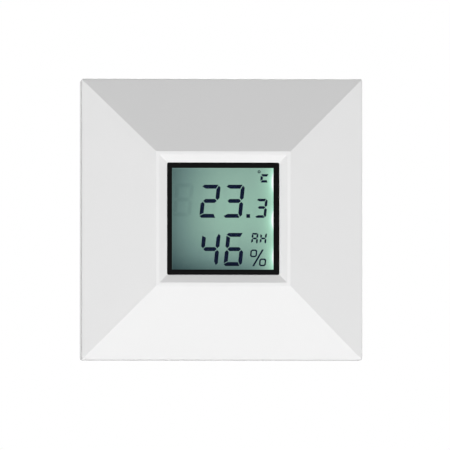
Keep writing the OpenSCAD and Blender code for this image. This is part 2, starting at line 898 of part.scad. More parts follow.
module percent_ring(x, y) {
    t = percent_stroke;
    c = segment_cut * t;
    difference() {
        polygon(leaning(cut_bar(x, y, percent_ring_w, percent_ring_h, t)));
        polygon(leaning(cut_bar(x + t, y + t, percent_ring_w - 2 * t, percent_ring_h - 2 * t, c)));
    }
}

module percent_sign() {
    stroke_foot = (percent_ring_w + percent_stroke) / 2;
    stroke_end = percent_w - (percent_ring_w - percent_stroke) / 2;
    side = slash_w / 2;
    translate([percent_x, percent_y]) {
        percent_ring(0, percent_h - percent_ring_h);
        percent_ring(percent_w - percent_ring_w, 0);
        polygon([
            [stroke_foot - side, 0], [stroke_foot + side, 0],
            [stroke_end + side, percent_h], [stroke_end - side, percent_h]
        ]);
    }
}

// A layer of electrodes in the cell
module electrodes() {
    translate([0, 0, rear_glass_z])
        linear_extrude(cell_t)
            children();
}

module lcd_segments() {
    color(ink_navy)
        in_room()
            electrodes() {
                large("abdeg", 0, upper_y);
                large("abcdg", 1, upper_y);
                small("abcdg");
                translate([point_x, upper_y])
                    square(point_w);
                large("bcfg", 0, lower_y);
                large("acdefg", 1, lower_y);
                degree_sign();
                figure("abcefg", [humid_x, humid_y], humid_w, humid_h, humid_stroke);
                figure("bcefg", [humid_x + humid_pitch, humid_y], humid_w, humid_h, humid_stroke);
                percent_sign();
            }
}

module lcd_faint_segments() {
    color(ink_faint)
        in_room()
            electrodes() {
                large("abcdefg", -1, upper_y);
                large(unlit("abdeg"), 0, upper_y);
                large(unlit("abcdg"), 1, upper_y);
                small(unlit("abcdg"));
                large(unlit("bcfg"), 0, lower_y);
                large(unlit("acdefg"), 1, lower_y);
            }
}

module lcd_rear_glass() {
    color(glass_clear)
        in_room()
            block(glass_w, rear_glass_h, rear_film_z, rear_glass_z);
}

module lcd_rear_polarizer() {
    color(film_grey)
        in_room()
            block(polarizer_w, polarizer_w, diffuser_z, rear_film_z);
}

// Sheet of the backlight, from the left glass edge to the LEDs
module light_sheet(z0, z1) {
    translate([(guide_left + guide_right) / 2, 0, 0])
        block(guide_right - guide_left, rear_glass_h, z0, z1);
}

module backlight_diffuser() {
    color(light_green)
        in_room()
            light_sheet(guide_z, diffuser_z);
}

module backlight_guide() {
    color(light_green)
        in_room()
            light_sheet(reflector_z, guide_z);
}

module backlight_reflector() {
    color(shell_white)
        in_room()
            light_sheet(board_z, reflector_z);
}

module backlight_leds() {
    color(shell_white)
        in_room()
            for (i = [-1:1])
                translate([glass_w / 2 - led_t / 2, i * led_pitch, 0])
                    block(led_t, led_l, board_z, board_z + led_h);
}

module contact_strips() {
    color(package_black)
        in_room()
            for (i = [-1, 1])
                translate([0, i * strip_y, 0])
                    block(strip_l, strip_t, board_z, cell_z);
}

module main_board() {
    color(board_green)
        in_room()
            difference() {
                translate([0, board_y, 0])
                    plate(board_w, board_h, board_r, rear_z, board_z);
                for (p = screw_places)
                    translate(p)
                        post(screw_r + hole_gap, rear_z - past, board_z + past);
                for (i = [-1, 1], j = [-1, 1])
                    translate([i * (frame_w - frame_wall) / 2, j * (frame_h - frame_wall) / 2, 0])
                        post(peg_r + thread_gap, rear_z - past, board_z + past);
                for (i = [-1, 1])
                    translate([i * (tongue_w + slit_w) / 2, tongue_l / 2 - board_below - past / 2, 0])
                        block(slit_w, tongue_l + past, rear_z - past, board_z + past);
                translate([0, tongue_l - slit_w / 2 - board_below, 0])
                    block(tongue_w - 2 * bridge_w, slit_w, rear_z - past, board_z + past);
            }
}

// Package that stands on its leads behind the main board
module package(place, l, w, h) {
    translate(place)
        block(l, w, rear_z - chip_stand - h, rear_z - chip_stand);
}

module controller_chip() {
    color(package_black)
        in_room()
            package(chip_at, chip_w, chip_w, chip_h);
}

module transceiver_chip() {
    color(package_black)
        in_room()
            package(bus_at, bus_l, bus_w, bus_h);
}

module regulator() {
    color(package_black)
        in_room()
            package(reg_at, reg_l, reg_w, reg_h);
}

// Bent lead that leaves a package at half its height and stands on the board
module lead(h, w) {
    low = -chip_stand - h / 2 - lead_t / 2;
    knee = lead_out - lead_foot;
    rotate([90, 0, 0])
        translate([0, 0, -w / 2])
            linear_extrude(w)
                polygon([
                    [0, low], [knee, low], [knee, -lead_t], [lead_out, -lead_t], [lead_out, 0],
                    [knee - lead_t, 0], [knee - lead_t, low + lead_t], [0, low + lead_t]
                ]);
}

// Row of leads along one side of a package, at an angle about its centre
module lead_row(place, angle, reach, count, pitch, h, w) {
    translate([place[0], place[1], rear_z])
        rotate([0, 0, angle])
            for (i = [0:count - 1])
                translate([reach, (i - (count - 1) / 2) * pitch, 0])
                    lead(h, w);
}

module chip_leads() {
    color(tin)
        in_room() {
            for (a = [0, 90, 180, 270])
                lead_row(chip_at, a, chip_w / 2, chip_leads_side, chip_pitch, chip_h, chip_lead_w);
            for (a = [90, 270])
                lead_row(bus_at, a, bus_w / 2, 4, bus_pitch, bus_h, bus_lead_w);
            lead_row(reg_at, 270, reg_w / 2, 3, reg_pitch, reg_h, reg_lead_w);
            lead_row(reg_at, 90, reg_w / 2, 1, reg_pitch, reg_h, reg_tab_w);
        }
}

module crystal() {
    color(tin)
        in_room()
            translate(crystal_at)
                plate(crystal_l, crystal_w, crystal_w / 4, rear_z - crystal_h, rear_z);
}

module inductor() {
    color(package_black)
        in_room()
            translate(coil_at)
                plate(coil_w, coil_w, coil_w / 6, rear_z - coil_h, rear_z);
}

module capacitors() {
    color(brass)
        in_room()
            for (i = [0:cap_count - 1])
                translate([cap_at[0] + i * cap_pitch, cap_at[1], 0])
                    block(cap_l, cap_w, rear_z - cap_h, rear_z);
}

module resistors() {
    color(package_black)
        in_room()
            for (i = [0:res_count - 1])
                translate([res_at[0] + i * res_pitch, res_at[1], 0])
                    block(res_l, res_w, rear_z - res_h, rear_z);
}

module sensor_chip() {
    color(package_black)
        in_room()
            translate([0, sensor_y, 0])
                block(sensor_w, sensor_w, rear_z - sensor_h, rear_z);
}

module sensor_membrane() {
    color(shell_white)
        in_room()
            translate([0, sensor_y, 0])
                post(membrane_r, rear_z - sensor_h - membrane_t, rear_z - sensor_h);
}

module program_switch() {
    front = rear_z - switch_h;
    color(package_black)
        in_room()
            translate(switch_at)
                difference() {
                    block(switch_w, switch_w, front, rear_z);
                    post(button_r + button_fit, front - past, front + switch_face + past / 2);
                    post(collar_r + button_fit, front + switch_face, front + switch_face + collar_room);
                }
}

module program_button() {
    front = rear_z - switch_h;
    collar_z = front + switch_face + button_fit;
    color(plate_white)
        in_room()
            translate(switch_at) {
                post(button_r, front - button_out, collar_z + collar_t);
                post(collar_r, collar_z, collar_z + collar_t);
            }
}

// Thin metal dish between the collar of the button and the end of its room
module switch_dome() {
    room = rear_z - switch_h + switch_face;
    top = room + button_fit + collar_t;
    end = room + collar_room;
    color(tin)
        in_room()
            translate(switch_at)
                rotate_extrude()
                    polygon([
                        [0, top], [dome_flat, top], [dome_r, end - dome_t], [dome_r, end],
                        [dome_r - dome_t, end], [dome_flat, top + dome_t], [0, top + dome_t]
                    ]);
}

module status_led() {
    color(light_green)
        in_room()
            translate(lamp_at)
                block(lamp_l, lamp_w, rear_z - lamp_h, rear_z);
}

// Square columns at every pin place of the plug connection
module pin_grid(w, z0, z1) {
    for (i = [0:pin_columns - 1], j = [-1, 1])
        translate([(i - (pin_columns - 1) / 2) * pin_pitch, plug_y + j * pin_pitch / 2, 0])
            block(w, w, z0, z1);
}

// Block of plastic round all the pins
module plug_body(z0, z1) {
    translate([0, plug_y, 0])
        block(pin_columns * pin_pitch + 2 * plug_edge, 2 * pin_pitch + 2 * plug_edge, z0, z1);
}

module plug_socket() {
    low = terminal_z + pin_base_h + plug_gap;
    color(package_black)
        in_room()
            difference() {
                plug_body(low, rear_z);
                pin_grid(pin_w + 2 * pin_gap, low - past, rear_z - pin_end / 2);
            }
}

// Slotted screw with its head towards the wall and its shank away from it
module slotted_screw(r, head, height, length) {
    difference() {
        union() {
            post(head, -height, 0);
            post(r, -height / 2, length);
        }
        block(drive_w, 2 * head + past, -height - past, -height + drive_d);
    }
}

module board_screws() {
    color(steel)
        in_room()
            for (p = screw_places)
                translate([p[0], p[1], rear_z])
                    slotted_screw(screw_r, head_r, head_h, board_t + screw_l);
}

// Opening of the cable entry, grown by an edge
module entry_shape(edge) {
    translate([0, (entry_up - entry_down) / 2])
        rounded(entry_w + 2 * edge, entry_up + entry_down + 2 * edge, entry_r + edge);
}

module wall_slots(edge, z0, z1) {
    for (i = [-1, 1])
        translate([i * slot_spacing / 2, 0, z0])
            linear_extrude(z1 - z0)
                slot(slot_l + 2 * edge, slot_w + 2 * edge);
}

// Arrow that points up, centred
module arrow_shape() {
    tip = arrow_l / 2;
    neck = tip - arrow_w / 2;
    polygon([
        [-arrow_stem / 2, -tip], [arrow_stem / 2, -tip], [arrow_stem / 2, neck],
        [arrow_w / 2, neck], [0, tip], [-arrow_w / 2, neck], [-arrow_stem / 2, neck]
    ]);
}

// Shallow recesses in the wall side, which leave a border, a rib and an arrow, and round marks in their corners
module wall_relief() {
    edge = base_half - relief_edge;
    foot = entry_up + relief_land;
    head = -entry_down - relief_land;
    side_w = edge - relief_rib / 2;
    mark_x = edge - 2 * pin_mark_r;
    translate([0, 0, -past])
        linear_extrude(relief_d + past) {
            translate([0, (edge + foot) / 2])
                difference() {
                    rounded(2 * edge, edge - foot, relief_r);
                    arrow_shape();
                }
            for (i = [-1, 1])
                translate([i * (edge - side_w / 2), (head - edge) / 2])
                    rounded(side_w, head + edge, relief_r);
        }
    for (i = [-1, 1], j = [-1, 1])
        translate([i * mark_x, j * mark_x, 0])
            post(pin_mark_r, -past, relief_d + pin_mark_d);
}

module back_plate() {
    rim_inside = 2 * (base_half - rim_t);
    pilot_z = lower_board_z - short_screw_l - screw_end;
    color(plate_white)
        in_room()
            difference() {
                union() {
                    plate(2 * base_half, 2 * base_half, base_r, 0, base_t);
                    difference() {
                        plate(2 * base_half, 2 * base_half, base_r, 0, base_rim_d);
                        block(rim_inside, rim_inside, base_t / 2, base_rim_d + past);
                        for (i = [-1, 1], j = [-1, 1])
                            translate([i * base_half, j * hook_y, 0])
                                block(4 * rim_t, hook_w + 2 * past, base_t, base_rim_d + past);
                    }
                    wall_slots(slot_collar, base_t / 2, base_t + collar_h);
                    translate([0, 0, base_t / 2])
                        linear_extrude(base_t / 2 + collar_h)
                            entry_shape(entry_collar);
                    for (i = [-1, 1]) {
                        translate([i * post_x, pole_y, 0])
                            post(post_r, base_t / 2, lower_board_z);
                        translate([i * post_x, rest_y, 0])
                            post(post_r, base_t / 2, lower_board_z);
                    }
                }
                wall_relief();
                wall_slots(0, -past, base_t + collar_h + past);
                translate([0, 0, -past])
                    linear_extrude(base_t + collar_h + 2 * past)
                        entry_shape(0);
                for (i = [-1, 1])
                    translate([i * post_x, pole_y, 0])
                        post(screw_r + thread_gap, pilot_z, lower_board_z + past);
            }
}

module snap_hooks() {
    tip = base_half + base_fit + hook_bite;
    color(plate_white)
        in_room()
            for (a = [0, 180], s = [-1, 1])
                rotate([0, 0, a])
                    translate([0, s * hook_y + hook_w / 2, 0])
                        rotate([90, 0, 0])
                            linear_extrude(hook_w)
                                polygon([
                                    [base_half - hook_t, base_t], [base_half, base_t], [base_half, hook_z],
                                    [tip, hook_z], [tip, hook_z + nose_edge], [base_half, hook_z + nose_l],
                                    [base_half - hook_t, hook_z + nose_l]
                                ]);
}

// Column x of a pole, counted from 1 at the left
function pole_x(i) = (i - 2.5) * pole_pitch;

module terminal_board() {
    leg_hole = [leg_w + 2 * slide_fit, bar_t + 2 * slide_fit];
    color(board_green)
        in_room()
            difference() {
                translate([0, (lower_board_y + lower_board_up) / 2, 0])
                    plate(lower_board_w, lower_board_h, board_r, lower_board_z, terminal_z);
                for (i = [-1, 1])
                    translate([i * post_x, pole_y, 0])
                        post(screw_r + hole_gap, lower_board_z - past, terminal_z + past);
                for (i = [1:4])
                    translate([pole_x(i), leg_y + bar_t / 2, 0])
                        block(leg_hole[0], leg_hole[1], lower_board_z - past, terminal_z + past);
                pin_grid(pin_w + 2 * pin_gap, lower_board_z - past, terminal_z + past);
            }
}

module terminal_board_screws() {
    color(steel)
        in_room()
            for (i = [-1, 1])
                translate([i * post_x, pole_y, terminal_z])
                    mirror([0, 0, 1])
                        slotted_screw(screw_r, head_r, head_h, lower_board_t + short_screw_l);
}

module plug_base() {
    color(package_black)
        in_room()
            difference() {
                plug_body(terminal_z, terminal_z + pin_base_h);
                pin_grid(pin_w, terminal_z - past, terminal_z + pin_base_h + past);
            }
}

module plug_pins() {
    color(brass)
        in_room()
            pin_grid(pin_w, lower_board_z - tail, rear_z - pin_end);
}

// Everything that is cut out of the terminal block at one pole
module pole_room() {
    bar_room_d = leg_y + bar_t + slide_fit - pole_y;
    bar_room_h = bar_top + slide_fit - terminal_z + past;
    translate([0, pole_y, 0]) {
        block(cage_w + 2 * slide_fit, cage_d + 2 * slide_fit, terminal_z - past, room_top);
        post(clamp_r + slide_fit, room_top - past, clamp_head_z + past / 2);
        post(clamp_head_r + slide_fit, clamp_head_z, well_top);
        post(access_r, clamp_head_z, block_top + past);
    }
    translate([-bar_w / 2 - slide_fit, pole_y, terminal_z - past])
        cube([bar_w + 2 * slide_fit, bar_room_d, bar_room_h]);
    translate([-wire_w / 2, block_front - past, cage_floor])
        cube([wire_w, pole_y - block_front + past, wire_gap]);
    translate([-cage_w / 2, block_front - past, cage_z])
        cube([cage_w, past + block_wall / 2, wire_gap + 2 * cage_wall]);
}

module terminal_block() {
    color(terminal_green)
        in_room()
            difference() {
                translate([0, (block_front + block_back) / 2, 0])
                    block(block_w, block_back - block_front, terminal_z, block_top);
                for (i = [1:4])
                    translate([pole_x(i), 0, 0])
                        pole_room();
            }
}

module terminal_bars() {
    reach = cage_d / 2 - cage_wall;
    color(brass)
        in_room()
            for (i = [1:4]) {
                translate([pole_x(i) - bar_w / 2, pole_y - reach, bar_z])
                    cube([bar_w, leg_y + bar_t - pole_y + reach, bar_t]);
                translate([pole_x(i) - leg_w / 2, leg_y, lower_board_z - tail])
                    cube([leg_w, bar_t, bar_top - lower_board_z + tail]);
            }
}

module clamp_screw(i) {
    top = clamp_head_z + clamp_end + clamp_head_h;
    color(steel)
        in_room()
            translate([pole_x(i), pole_y, 0])
                difference() {
                    union() {
                        post(clamp_r, bar_top + clamp_end, clamp_head_z + clamp_end + clamp_head_h / 2);
                        post(clamp_head_r, clamp_head_z + clamp_end, top);
                    }
                    block(drive_w, 2 * clamp_head_r + past, top - drive_d, top + past);
                }
}

module clamp_cage(i) {
    color(tin)
        in_room()
            translate([pole_x(i), pole_y, 0])
                difference() {
                    block(cage_w, cage_d, cage_z, cage_top);
                    block(cage_w - 2 * cage_wall, cage_d + 2 * past, cage_floor, cage_roof);
                    post(clamp_r + clamp_fit, cage_roof - past / 2, cage_top + past);
                }
}

front_bezel();
lcd_gasket();
lcd_frame();
lcd_front_polarizer();
lcd_front_glass();
lcd_seal();
lcd_segments();
lcd_faint_segments();
lcd_rear_glass();
lcd_rear_polarizer();
backlight_diffuser();
backlight_guide();
backlight_reflector();
backlight_leds();
contact_strips();
main_board();
controller_chip();
transceiver_chip();
regulator();
chip_leads();
crystal();
inductor();
capacitors();
resistors();
sensor_chip();
sensor_membrane();
program_switch();
switch_dome();
program_button();
status_led();
plug_socket();
board_screws();
back_plate();
snap_hooks();
terminal_board();
terminal_board_screws();
plug_base();
plug_pins();
terminal_block();
terminal_bars();
clamp_screw(1);  // clamp_screw_1
clamp_screw(2);  // clamp_screw_2
clamp_screw(3);  // clamp_screw_3
clamp_screw(4);  // clamp_screw_4
clamp_cage(1);  // clamp_cage_1
clamp_cage(2);  // clamp_cage_2
clamp_cage(3);  // clamp_cage_3
clamp_cage(4);  // clamp_cage_4
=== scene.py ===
import math

import bmesh
import bpy
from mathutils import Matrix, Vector


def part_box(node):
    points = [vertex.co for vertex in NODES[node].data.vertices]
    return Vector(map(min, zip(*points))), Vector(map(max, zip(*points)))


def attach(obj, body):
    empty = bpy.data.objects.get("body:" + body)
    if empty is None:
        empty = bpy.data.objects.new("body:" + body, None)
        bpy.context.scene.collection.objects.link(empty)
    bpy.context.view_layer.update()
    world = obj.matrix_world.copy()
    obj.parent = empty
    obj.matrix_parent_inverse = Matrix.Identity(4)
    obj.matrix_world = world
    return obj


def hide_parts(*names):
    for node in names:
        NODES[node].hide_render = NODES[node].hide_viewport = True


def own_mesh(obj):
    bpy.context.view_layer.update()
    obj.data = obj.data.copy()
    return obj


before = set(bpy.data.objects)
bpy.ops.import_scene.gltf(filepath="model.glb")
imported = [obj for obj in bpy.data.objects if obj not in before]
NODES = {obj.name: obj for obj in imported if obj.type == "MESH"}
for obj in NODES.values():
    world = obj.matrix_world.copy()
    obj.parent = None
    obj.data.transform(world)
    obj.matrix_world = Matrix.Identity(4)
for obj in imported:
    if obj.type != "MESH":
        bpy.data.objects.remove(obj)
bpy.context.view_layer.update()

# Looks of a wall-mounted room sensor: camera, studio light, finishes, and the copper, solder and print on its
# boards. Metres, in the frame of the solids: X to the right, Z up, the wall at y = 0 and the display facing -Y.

SCENE = bpy.context.scene
SCENE.view_settings.view_transform = "Standard"
MM = 0.001
UM = 1e-6

# Camera: far off, a little to the left and below, aimed near the middle of the wall plane
CAMERA_AZIMUTH = -2.977
CAMERA_ELEVATION = -1.747
CAMERA_DISTANCE = 3.2
CAMERA_AIM = (1.527 * MM, 0.0, -1.346 * MM)
CAMERA_NEAR = 0.1
CAMERA_FAR = 100.0
SENSOR_MM = 36.0
FRAME_WIDTH = 0.13795

# Studio: dim even light from all round, and a pale floor far below
AMBIENT = 0.04
FLOOR_Z = -3.4
FLOOR_HALF = 40.0
FLOOR_GREY = 0.86
FLOOR_ROUGH = 0.9
FLOOR_SPECULAR = 0.1
FLOOR_WHITE = 0.9

# Lamps: azimuth and elevation in degrees, distance, width, height, watts
LAMPS = {
    "front": (3.0, 1.8, 2.6, 0.8, 0.8, 7.67),
    "key": (0.0, -28.0, 1.8, 2.0, 1.4, 26.5),
    "left": (-40.6, 1.8, 1.8, 0.4, 0.6, 2.86),
    "right": (46.6, 1.8, 1.8, 0.4, 0.6, 2.21),
    "back": (-163.0, 38.0, 1.8, 1.8, 0.8, 30.0),
    "side": (115.0, 8.0, 1.8, 0.8, 0.8, 9.0),
}


def direction(azimuth, elevation):
    """Unit vector from the object towards a place seen at these angles in degrees."""
    a, e = math.radians(azimuth), math.radians(elevation)
    return Vector((math.sin(a) * math.cos(e), -math.cos(a) * math.cos(e), math.sin(e)))


def aim(obj, place, target):
    obj.location = place
    obj.rotation_mode = "QUATERNION"
    obj.rotation_quaternion = (Vector(target) - Vector(place)).to_track_quat("-Z", "Y")


def add_object(name, data):
    obj = bpy.data.objects.new(name, data)
    SCENE.collection.objects.link(obj)
    return obj


def make_camera():
    data = bpy.data.cameras.new("camera")
    data.sensor_width = SENSOR_MM
    data.lens = SENSOR_MM * CAMERA_DISTANCE / FRAME_WIDTH
    data.clip_start, data.clip_end = CAMERA_NEAR, CAMERA_FAR
    camera = add_object("camera", data)
    target = Vector(CAMERA_AIM)
    aim(camera, target + direction(CAMERA_AZIMUTH, CAMERA_ELEVATION) * CAMERA_DISTANCE, target)
    SCENE.camera = camera


def make_lights():
    for name, (azimuth, elevation, distance, width, height, watts) in LAMPS.items():
        data = bpy.data.lights.new(name, "AREA")
        data.shape = "RECTANGLE"
        data.size, data.size_y = width, height
        data.energy = watts
        lamp = add_object(name, data)
        aim(lamp, direction(azimuth, elevation) * distance, (0, 0, 0))
        lamp.visible_camera = False


def seen_directly(tree):
    """Socket that is 1 for camera, glossy and transmission rays."""
    path = tree.nodes.new("ShaderNodeLightPath")
    total = path.outputs["Is Camera Ray"]
    for name in ("Is Glossy Ray", "Is Transmission Ray"):
        joined = tree.nodes.new("ShaderNodeMath")
        joined.operation = "MAXIMUM"
        tree.links.new(total, joined.inputs[0])
        tree.links.new(path.outputs[name], joined.inputs[1])
        total = joined.outputs[0]
    return total


def make_world():
    """White where it is seen, dim and even where it lights."""
    world = bpy.data.worlds.new("studio")
    world.use_nodes = True
    world.cycles.sampling_method = "NONE"
    SCENE.world = world
    tree = world.node_tree
    level = tree.nodes.new("ShaderNodeMapRange")
    level.inputs["To Min"].default_value = AMBIENT
    level.inputs["To Max"].default_value = 1.0
    tree.links.new(seen_directly(tree), level.inputs["Value"])
    background = tree.nodes["Background"]
    background.inputs["Color"].default_value = grey(1.0)
    tree.links.new(level.outputs[0], background.inputs["Strength"])


def make_floor():
    """Pale paper that looks almost white where it is seen."""
    mesh = bpy.data.meshes.new("floor")
    h = FLOOR_HALF
    places = [(-h, -h, FLOOR_Z), (h, -h, FLOOR_Z), (h, h, FLOOR_Z), (-h, h, FLOOR_Z)]
    mesh.from_pydata(places, [], [(0, 1, 2, 3)])
    floor = add_object("floor", mesh)
    material = bpy.data.materials.new("floor_paper")
    material.use_nodes = True
    material.cycles.emission_sampling = "NONE"
    tree = material.node_tree
    paper = tree.nodes["Principled BSDF"]
    paper.inputs["Base Color"].default_value = grey(FLOOR_GREY)
    paper.inputs["Roughness"].default_value = FLOOR_ROUGH
    paper.inputs["Specular IOR Level"].default_value = FLOOR_SPECULAR
    white = tree.nodes.new("ShaderNodeEmission")
    share = tree.nodes.new("ShaderNodeMath")
    share.operation = "MULTIPLY"
    share.inputs[1].default_value = FLOOR_WHITE
    tree.links.new(seen_directly(tree), share.inputs[0])
    mix = tree.nodes.new("ShaderNodeMixShader")
    tree.links.new(share.outputs[0], mix.inputs[0])
    tree.links.new(paper.outputs[0], mix.inputs[1])
    tree.links.new(white.outputs[0], mix.inputs[2])
    tree.links.new(mix.outputs[0], tree.nodes["Material Output"].inputs["Surface"])
    mesh.materials.append(material)


def grey(value):
    return (value, value, value, 1.0)


def rgb(red, green, blue):
    """Linear colour from the eight-bit values of a screen."""
    def linear(c):
        c /= 255
        return c / 12.92 if c <= 0.04045 else ((c + 0.055) / 1.055) ** 2.4
    return (linear(red), linear(green), linear(blue), 1.0)


# Range that holds most of a noise pattern, sockets of a mix of colours, and samples for softened edges
NOISE_LOW, NOISE_HIGH = 0.3, 0.7
MIX_FIRST, MIX_SECOND, MIX_RESULT = 6, 7, 2
EDGE_SAMPLES = 6


class Finish:
    """A material round one Principled shader, with patterns in the metres of the frame."""

    NAMES = {
        "base": "Base Color",
        "rough": "Roughness",
        "metal": "Metallic",
        "specular": "Specular IOR Level",
        "alpha": "Alpha",
        "normal": "Normal",
        "glow": "Emission Color",
        "glow_level": "Emission Strength",
        "coat": "Coat Weight",
    }

    def __init__(self, name):
        self.material = bpy.data.materials.new(name)
        self.material.use_nodes = True
        self.tree = self.material.node_tree
        self.shader = self.tree.nodes["Principled BSDF"]
        self.place = self.tree.nodes.new("ShaderNodeTexCoord").outputs["Object"]
        self.x, self.y, self.z = self.split(self.place)

    def split(self, vector):
        node = self.tree.nodes.new("ShaderNodeSeparateXYZ")
        self.tree.links.new(vector, node.inputs[0])
        return node.outputs

    def put(self, socket, value):
        if isinstance(value, bpy.types.NodeSocket):
            self.tree.links.new(value, socket)
        else:
            socket.default_value = value

    def set(self, **values):
        for name, value in values.items():
            self.put(self.shader.inputs[self.NAMES[name]], value)
        return self

    def math(self, operation, first, second=0.0, third=0.0):
        node = self.tree.nodes.new("ShaderNodeMath")
        node.operation = operation
        for socket, value in zip(node.inputs, (first, second, third)):
            self.put(socket, value)
        return node.outputs[0]

    def add(self, *terms):
        total = terms[0]
        for term in terms[1:]:
            total = self.math("ADD", total, term)
        return total

    def times(self, *factors):
        product = factors[0]
        for factor in factors[1:]:
            product = self.math("MULTIPLY", product, factor)
        return product

    def span(self, value, low, high, out_low=0.0, out_high=1.0, smooth=False):
        """Value carried from one span to another, held at the ends."""
        node = self.tree.nodes.new("ShaderNodeMapRange")
        if smooth:
            node.interpolation_type = "SMOOTHSTEP"
        sockets = {"Value": value, "From Min": low, "From Max": high, "To Min": out_low, "To Max": out_high}
        for name, v in sockets.items():
            self.put(node.inputs[name], v)
        return node.outputs[0]

    def vary(self, pattern, low, high):
        """Value that follows a noise pattern from low to high."""
        return self.span(pattern, NOISE_LOW, NOISE_HIGH, low, high)

    def noise(self, size, detail=2.0, rough=0.5, stretch=(1, 1, 1)):
        """Cloudy pattern from 0 to 1, with features of about this size in metres."""
        place = self.place
        if stretch != (1, 1, 1):
            mapping = self.tree.nodes.new("ShaderNodeMapping")
            self.put(mapping.inputs["Vector"], place)
            mapping.inputs["Scale"].default_value = stretch
            place = mapping.outputs[0]
        node = self.tree.nodes.new("ShaderNodeTexNoise")
        self.put(node.inputs["Vector"], place)
        node.inputs["Scale"].default_value = 1 / size
        node.inputs["Detail"].default_value = detail
        node.inputs["Roughness"].default_value = rough
        return node.outputs[0]

    def cells(self, size):
        """Distance from the nearest of many scattered points about this far apart."""
        node = self.tree.nodes.new("ShaderNodeTexVoronoi")
        self.put(node.inputs["Vector"], self.place)
        node.inputs["Scale"].default_value = 1 / size
        return node.outputs["Distance"]

    def wave(self, coordinate, length):
        return self.math("SINE", self.times(coordinate, 2 * math.pi / length))

    def blend(self, share, first, second):
        node = self.tree.nodes.new("ShaderNodeMix")
        node.data_type = "RGBA"
        self.put(node.inputs["Factor"], share)
        self.put(node.inputs[MIX_FIRST], first)
        self.put(node.inputs[MIX_SECOND], second)
        return node.outputs[MIX_RESULT]

    def ramp(self, value, stops):
        node = self.tree.nodes.new("ShaderNodeValToRGB")
        self.put(node.inputs[0], value)
        points = node.color_ramp.elements
        while len(points) < len(stops):
            points.new(1.0)
        for point, (at, colour) in zip(points, stops):
            point.position = at
            point.color = colour
        return node.outputs[0]

    def bump(self, height, depth, normal=None):
        node = self.tree.nodes.new("ShaderNodeBump")
        node.inputs["Distance"].default_value = depth
        self.put(node.inputs["Height"], height)
        if normal is not None:
            self.put(node.inputs["Normal"], normal)
        return node.outputs[0]

    def soft_edge(self, radius):
        node = self.tree.nodes.new("ShaderNodeBevel")
        node.samples = EDGE_SAMPLES
        node.inputs["Radius"].default_value = radius
        return node.outputs[0]

    def ring(self, x, z, radius):
        """Distance in the XZ plane from a point, less a radius."""
        dx = self.math("SUBTRACT", self.x, x)
        dz = self.math("SUBTRACT", self.z, z)
        away = self.math("SQRT", self.add(self.times(dx, dx), self.times(dz, dz)))
        return self.math("SUBTRACT", away, radius)


def coat(finish, *names):
    """Gives these nodes the finish."""
    for name in names:
        slots = NODES[name].data.materials
        slots.clear()
        slots.append(finish.material)


def shell_white():
    """Smooth white casing with a slow change of tone and hardly any texture."""
    f = Finish("shell_white")
    f.set(base=f.blend(f.noise(18 * MM, detail=3.0), grey(0.854), grey(0.868)))
    f.set(rough=f.vary(f.noise(6 * MM), 0.25, 0.27))
    f.set(normal=f.bump(f.noise(1.4 * MM, detail=1.0), 0.8 * UM, f.soft_edge(0.16 * MM)))
    return f


ROUGH_SPREAD = 0.06
COARSE_GRAIN = 4
COARSE_SHARE = 0.5


def moulded_plastic(name, dark, light, rough, grain, depth, specular=0.5, cloud=9 * MM):
    """Moulded plastic with an even grain and a slow change of tone."""
    f = Finish(name)
    f.set(base=f.blend(f.noise(cloud, detail=3.0), dark, light), specular=specular)
    f.set(rough=f.vary(f.noise(2.2 * MM), rough - ROUGH_SPREAD, rough + ROUGH_SPREAD))
    coarse = f.times(f.noise(grain * COARSE_GRAIN, detail=1.0), COARSE_SHARE)
    pits = f.add(f.noise(grain, rough=0.6), coarse)
    f.set(normal=f.bump(pits, depth, f.soft_edge(0.08 * MM)))
    return f


SCRATCH_SIZE = 0.25 * MM
SCRATCH_DEPTH = 2 * UM
STAIN_SIZE = 1.6 * MM
STAIN_POLISH = 0.07
STAIN_DULL = 0.09
TONE_LOW, TONE_HIGH = 0.35, 0.65


def metal(name, dark, light, rough, stretch=(1, 1, 1)):
    """Plated or drawn metal with fine marks along one direction."""
    f = Finish(name)
    marks = f.noise(SCRATCH_SIZE, detail=3.0, rough=0.6, stretch=stretch)
    stain = f.noise(STAIN_SIZE, detail=3.0)
    tone = f.span(f.times(f.add(marks, stain), 0.5), TONE_LOW, TONE_HIGH)
    f.set(base=f.blend(tone, dark, light), metal=1.0)
    f.set(rough=f.vary(stain, rough - STAIN_POLISH, rough + STAIN_DULL))
    f.set(normal=f.bump(marks, SCRATCH_DEPTH, f.soft_edge(0.05 * MM)))
    return f


# Light of the display. ACROSS and UPWARD are the factors of two polynomials over the width and the height.
# A broad glow and tight spots at three lamps reach in from the right edge, and the top and left edges have
# a brighter strip.
VIEW_HALF = 15.6 * MM
ACROSS = (0.446, 0.069, -0.331, -0.128)
UPWARD = (1.0, 0.089, -0.422, 0.150)
BROAD_LEVEL = 0.66
BROAD_REACH = 3.7 * MM
LAMP_HEIGHTS = (11.3 * MM, -0.25 * MM, -11.65 * MM)
LAMP_LEVELS = (1.0, 1.0, 0.8)
TIGHT_LEVEL = 0.62
TIGHT_REACH = 0.88 * MM
TIGHT_HALF = 3.1 * MM
EDGE_STRIP = 0.35 * MM
EDGE_LIFT = 0.045
MOTTLE = 0.015
LIGHT_COLOURS = (
    (0.060, rgb(50, 70, 72)),
    (0.105, rgb(68, 91, 91)),
    (0.242, rgb(106, 135, 130)),
    (0.418, rgb(139, 173, 159)),
    (0.624, rgb(161, 207, 184)),
    (0.879, rgb(190, 241, 219)),
    (1.000, rgb(250, 255, 255)),
)
FRONT_FILM_ALPHA = 0.04
GLASS_CLEAR_HALF = 16.3 * MM
GLASS_EDGE_HALF = 17.2 * MM
GLASS_EDGE_ALPHA = 0.5


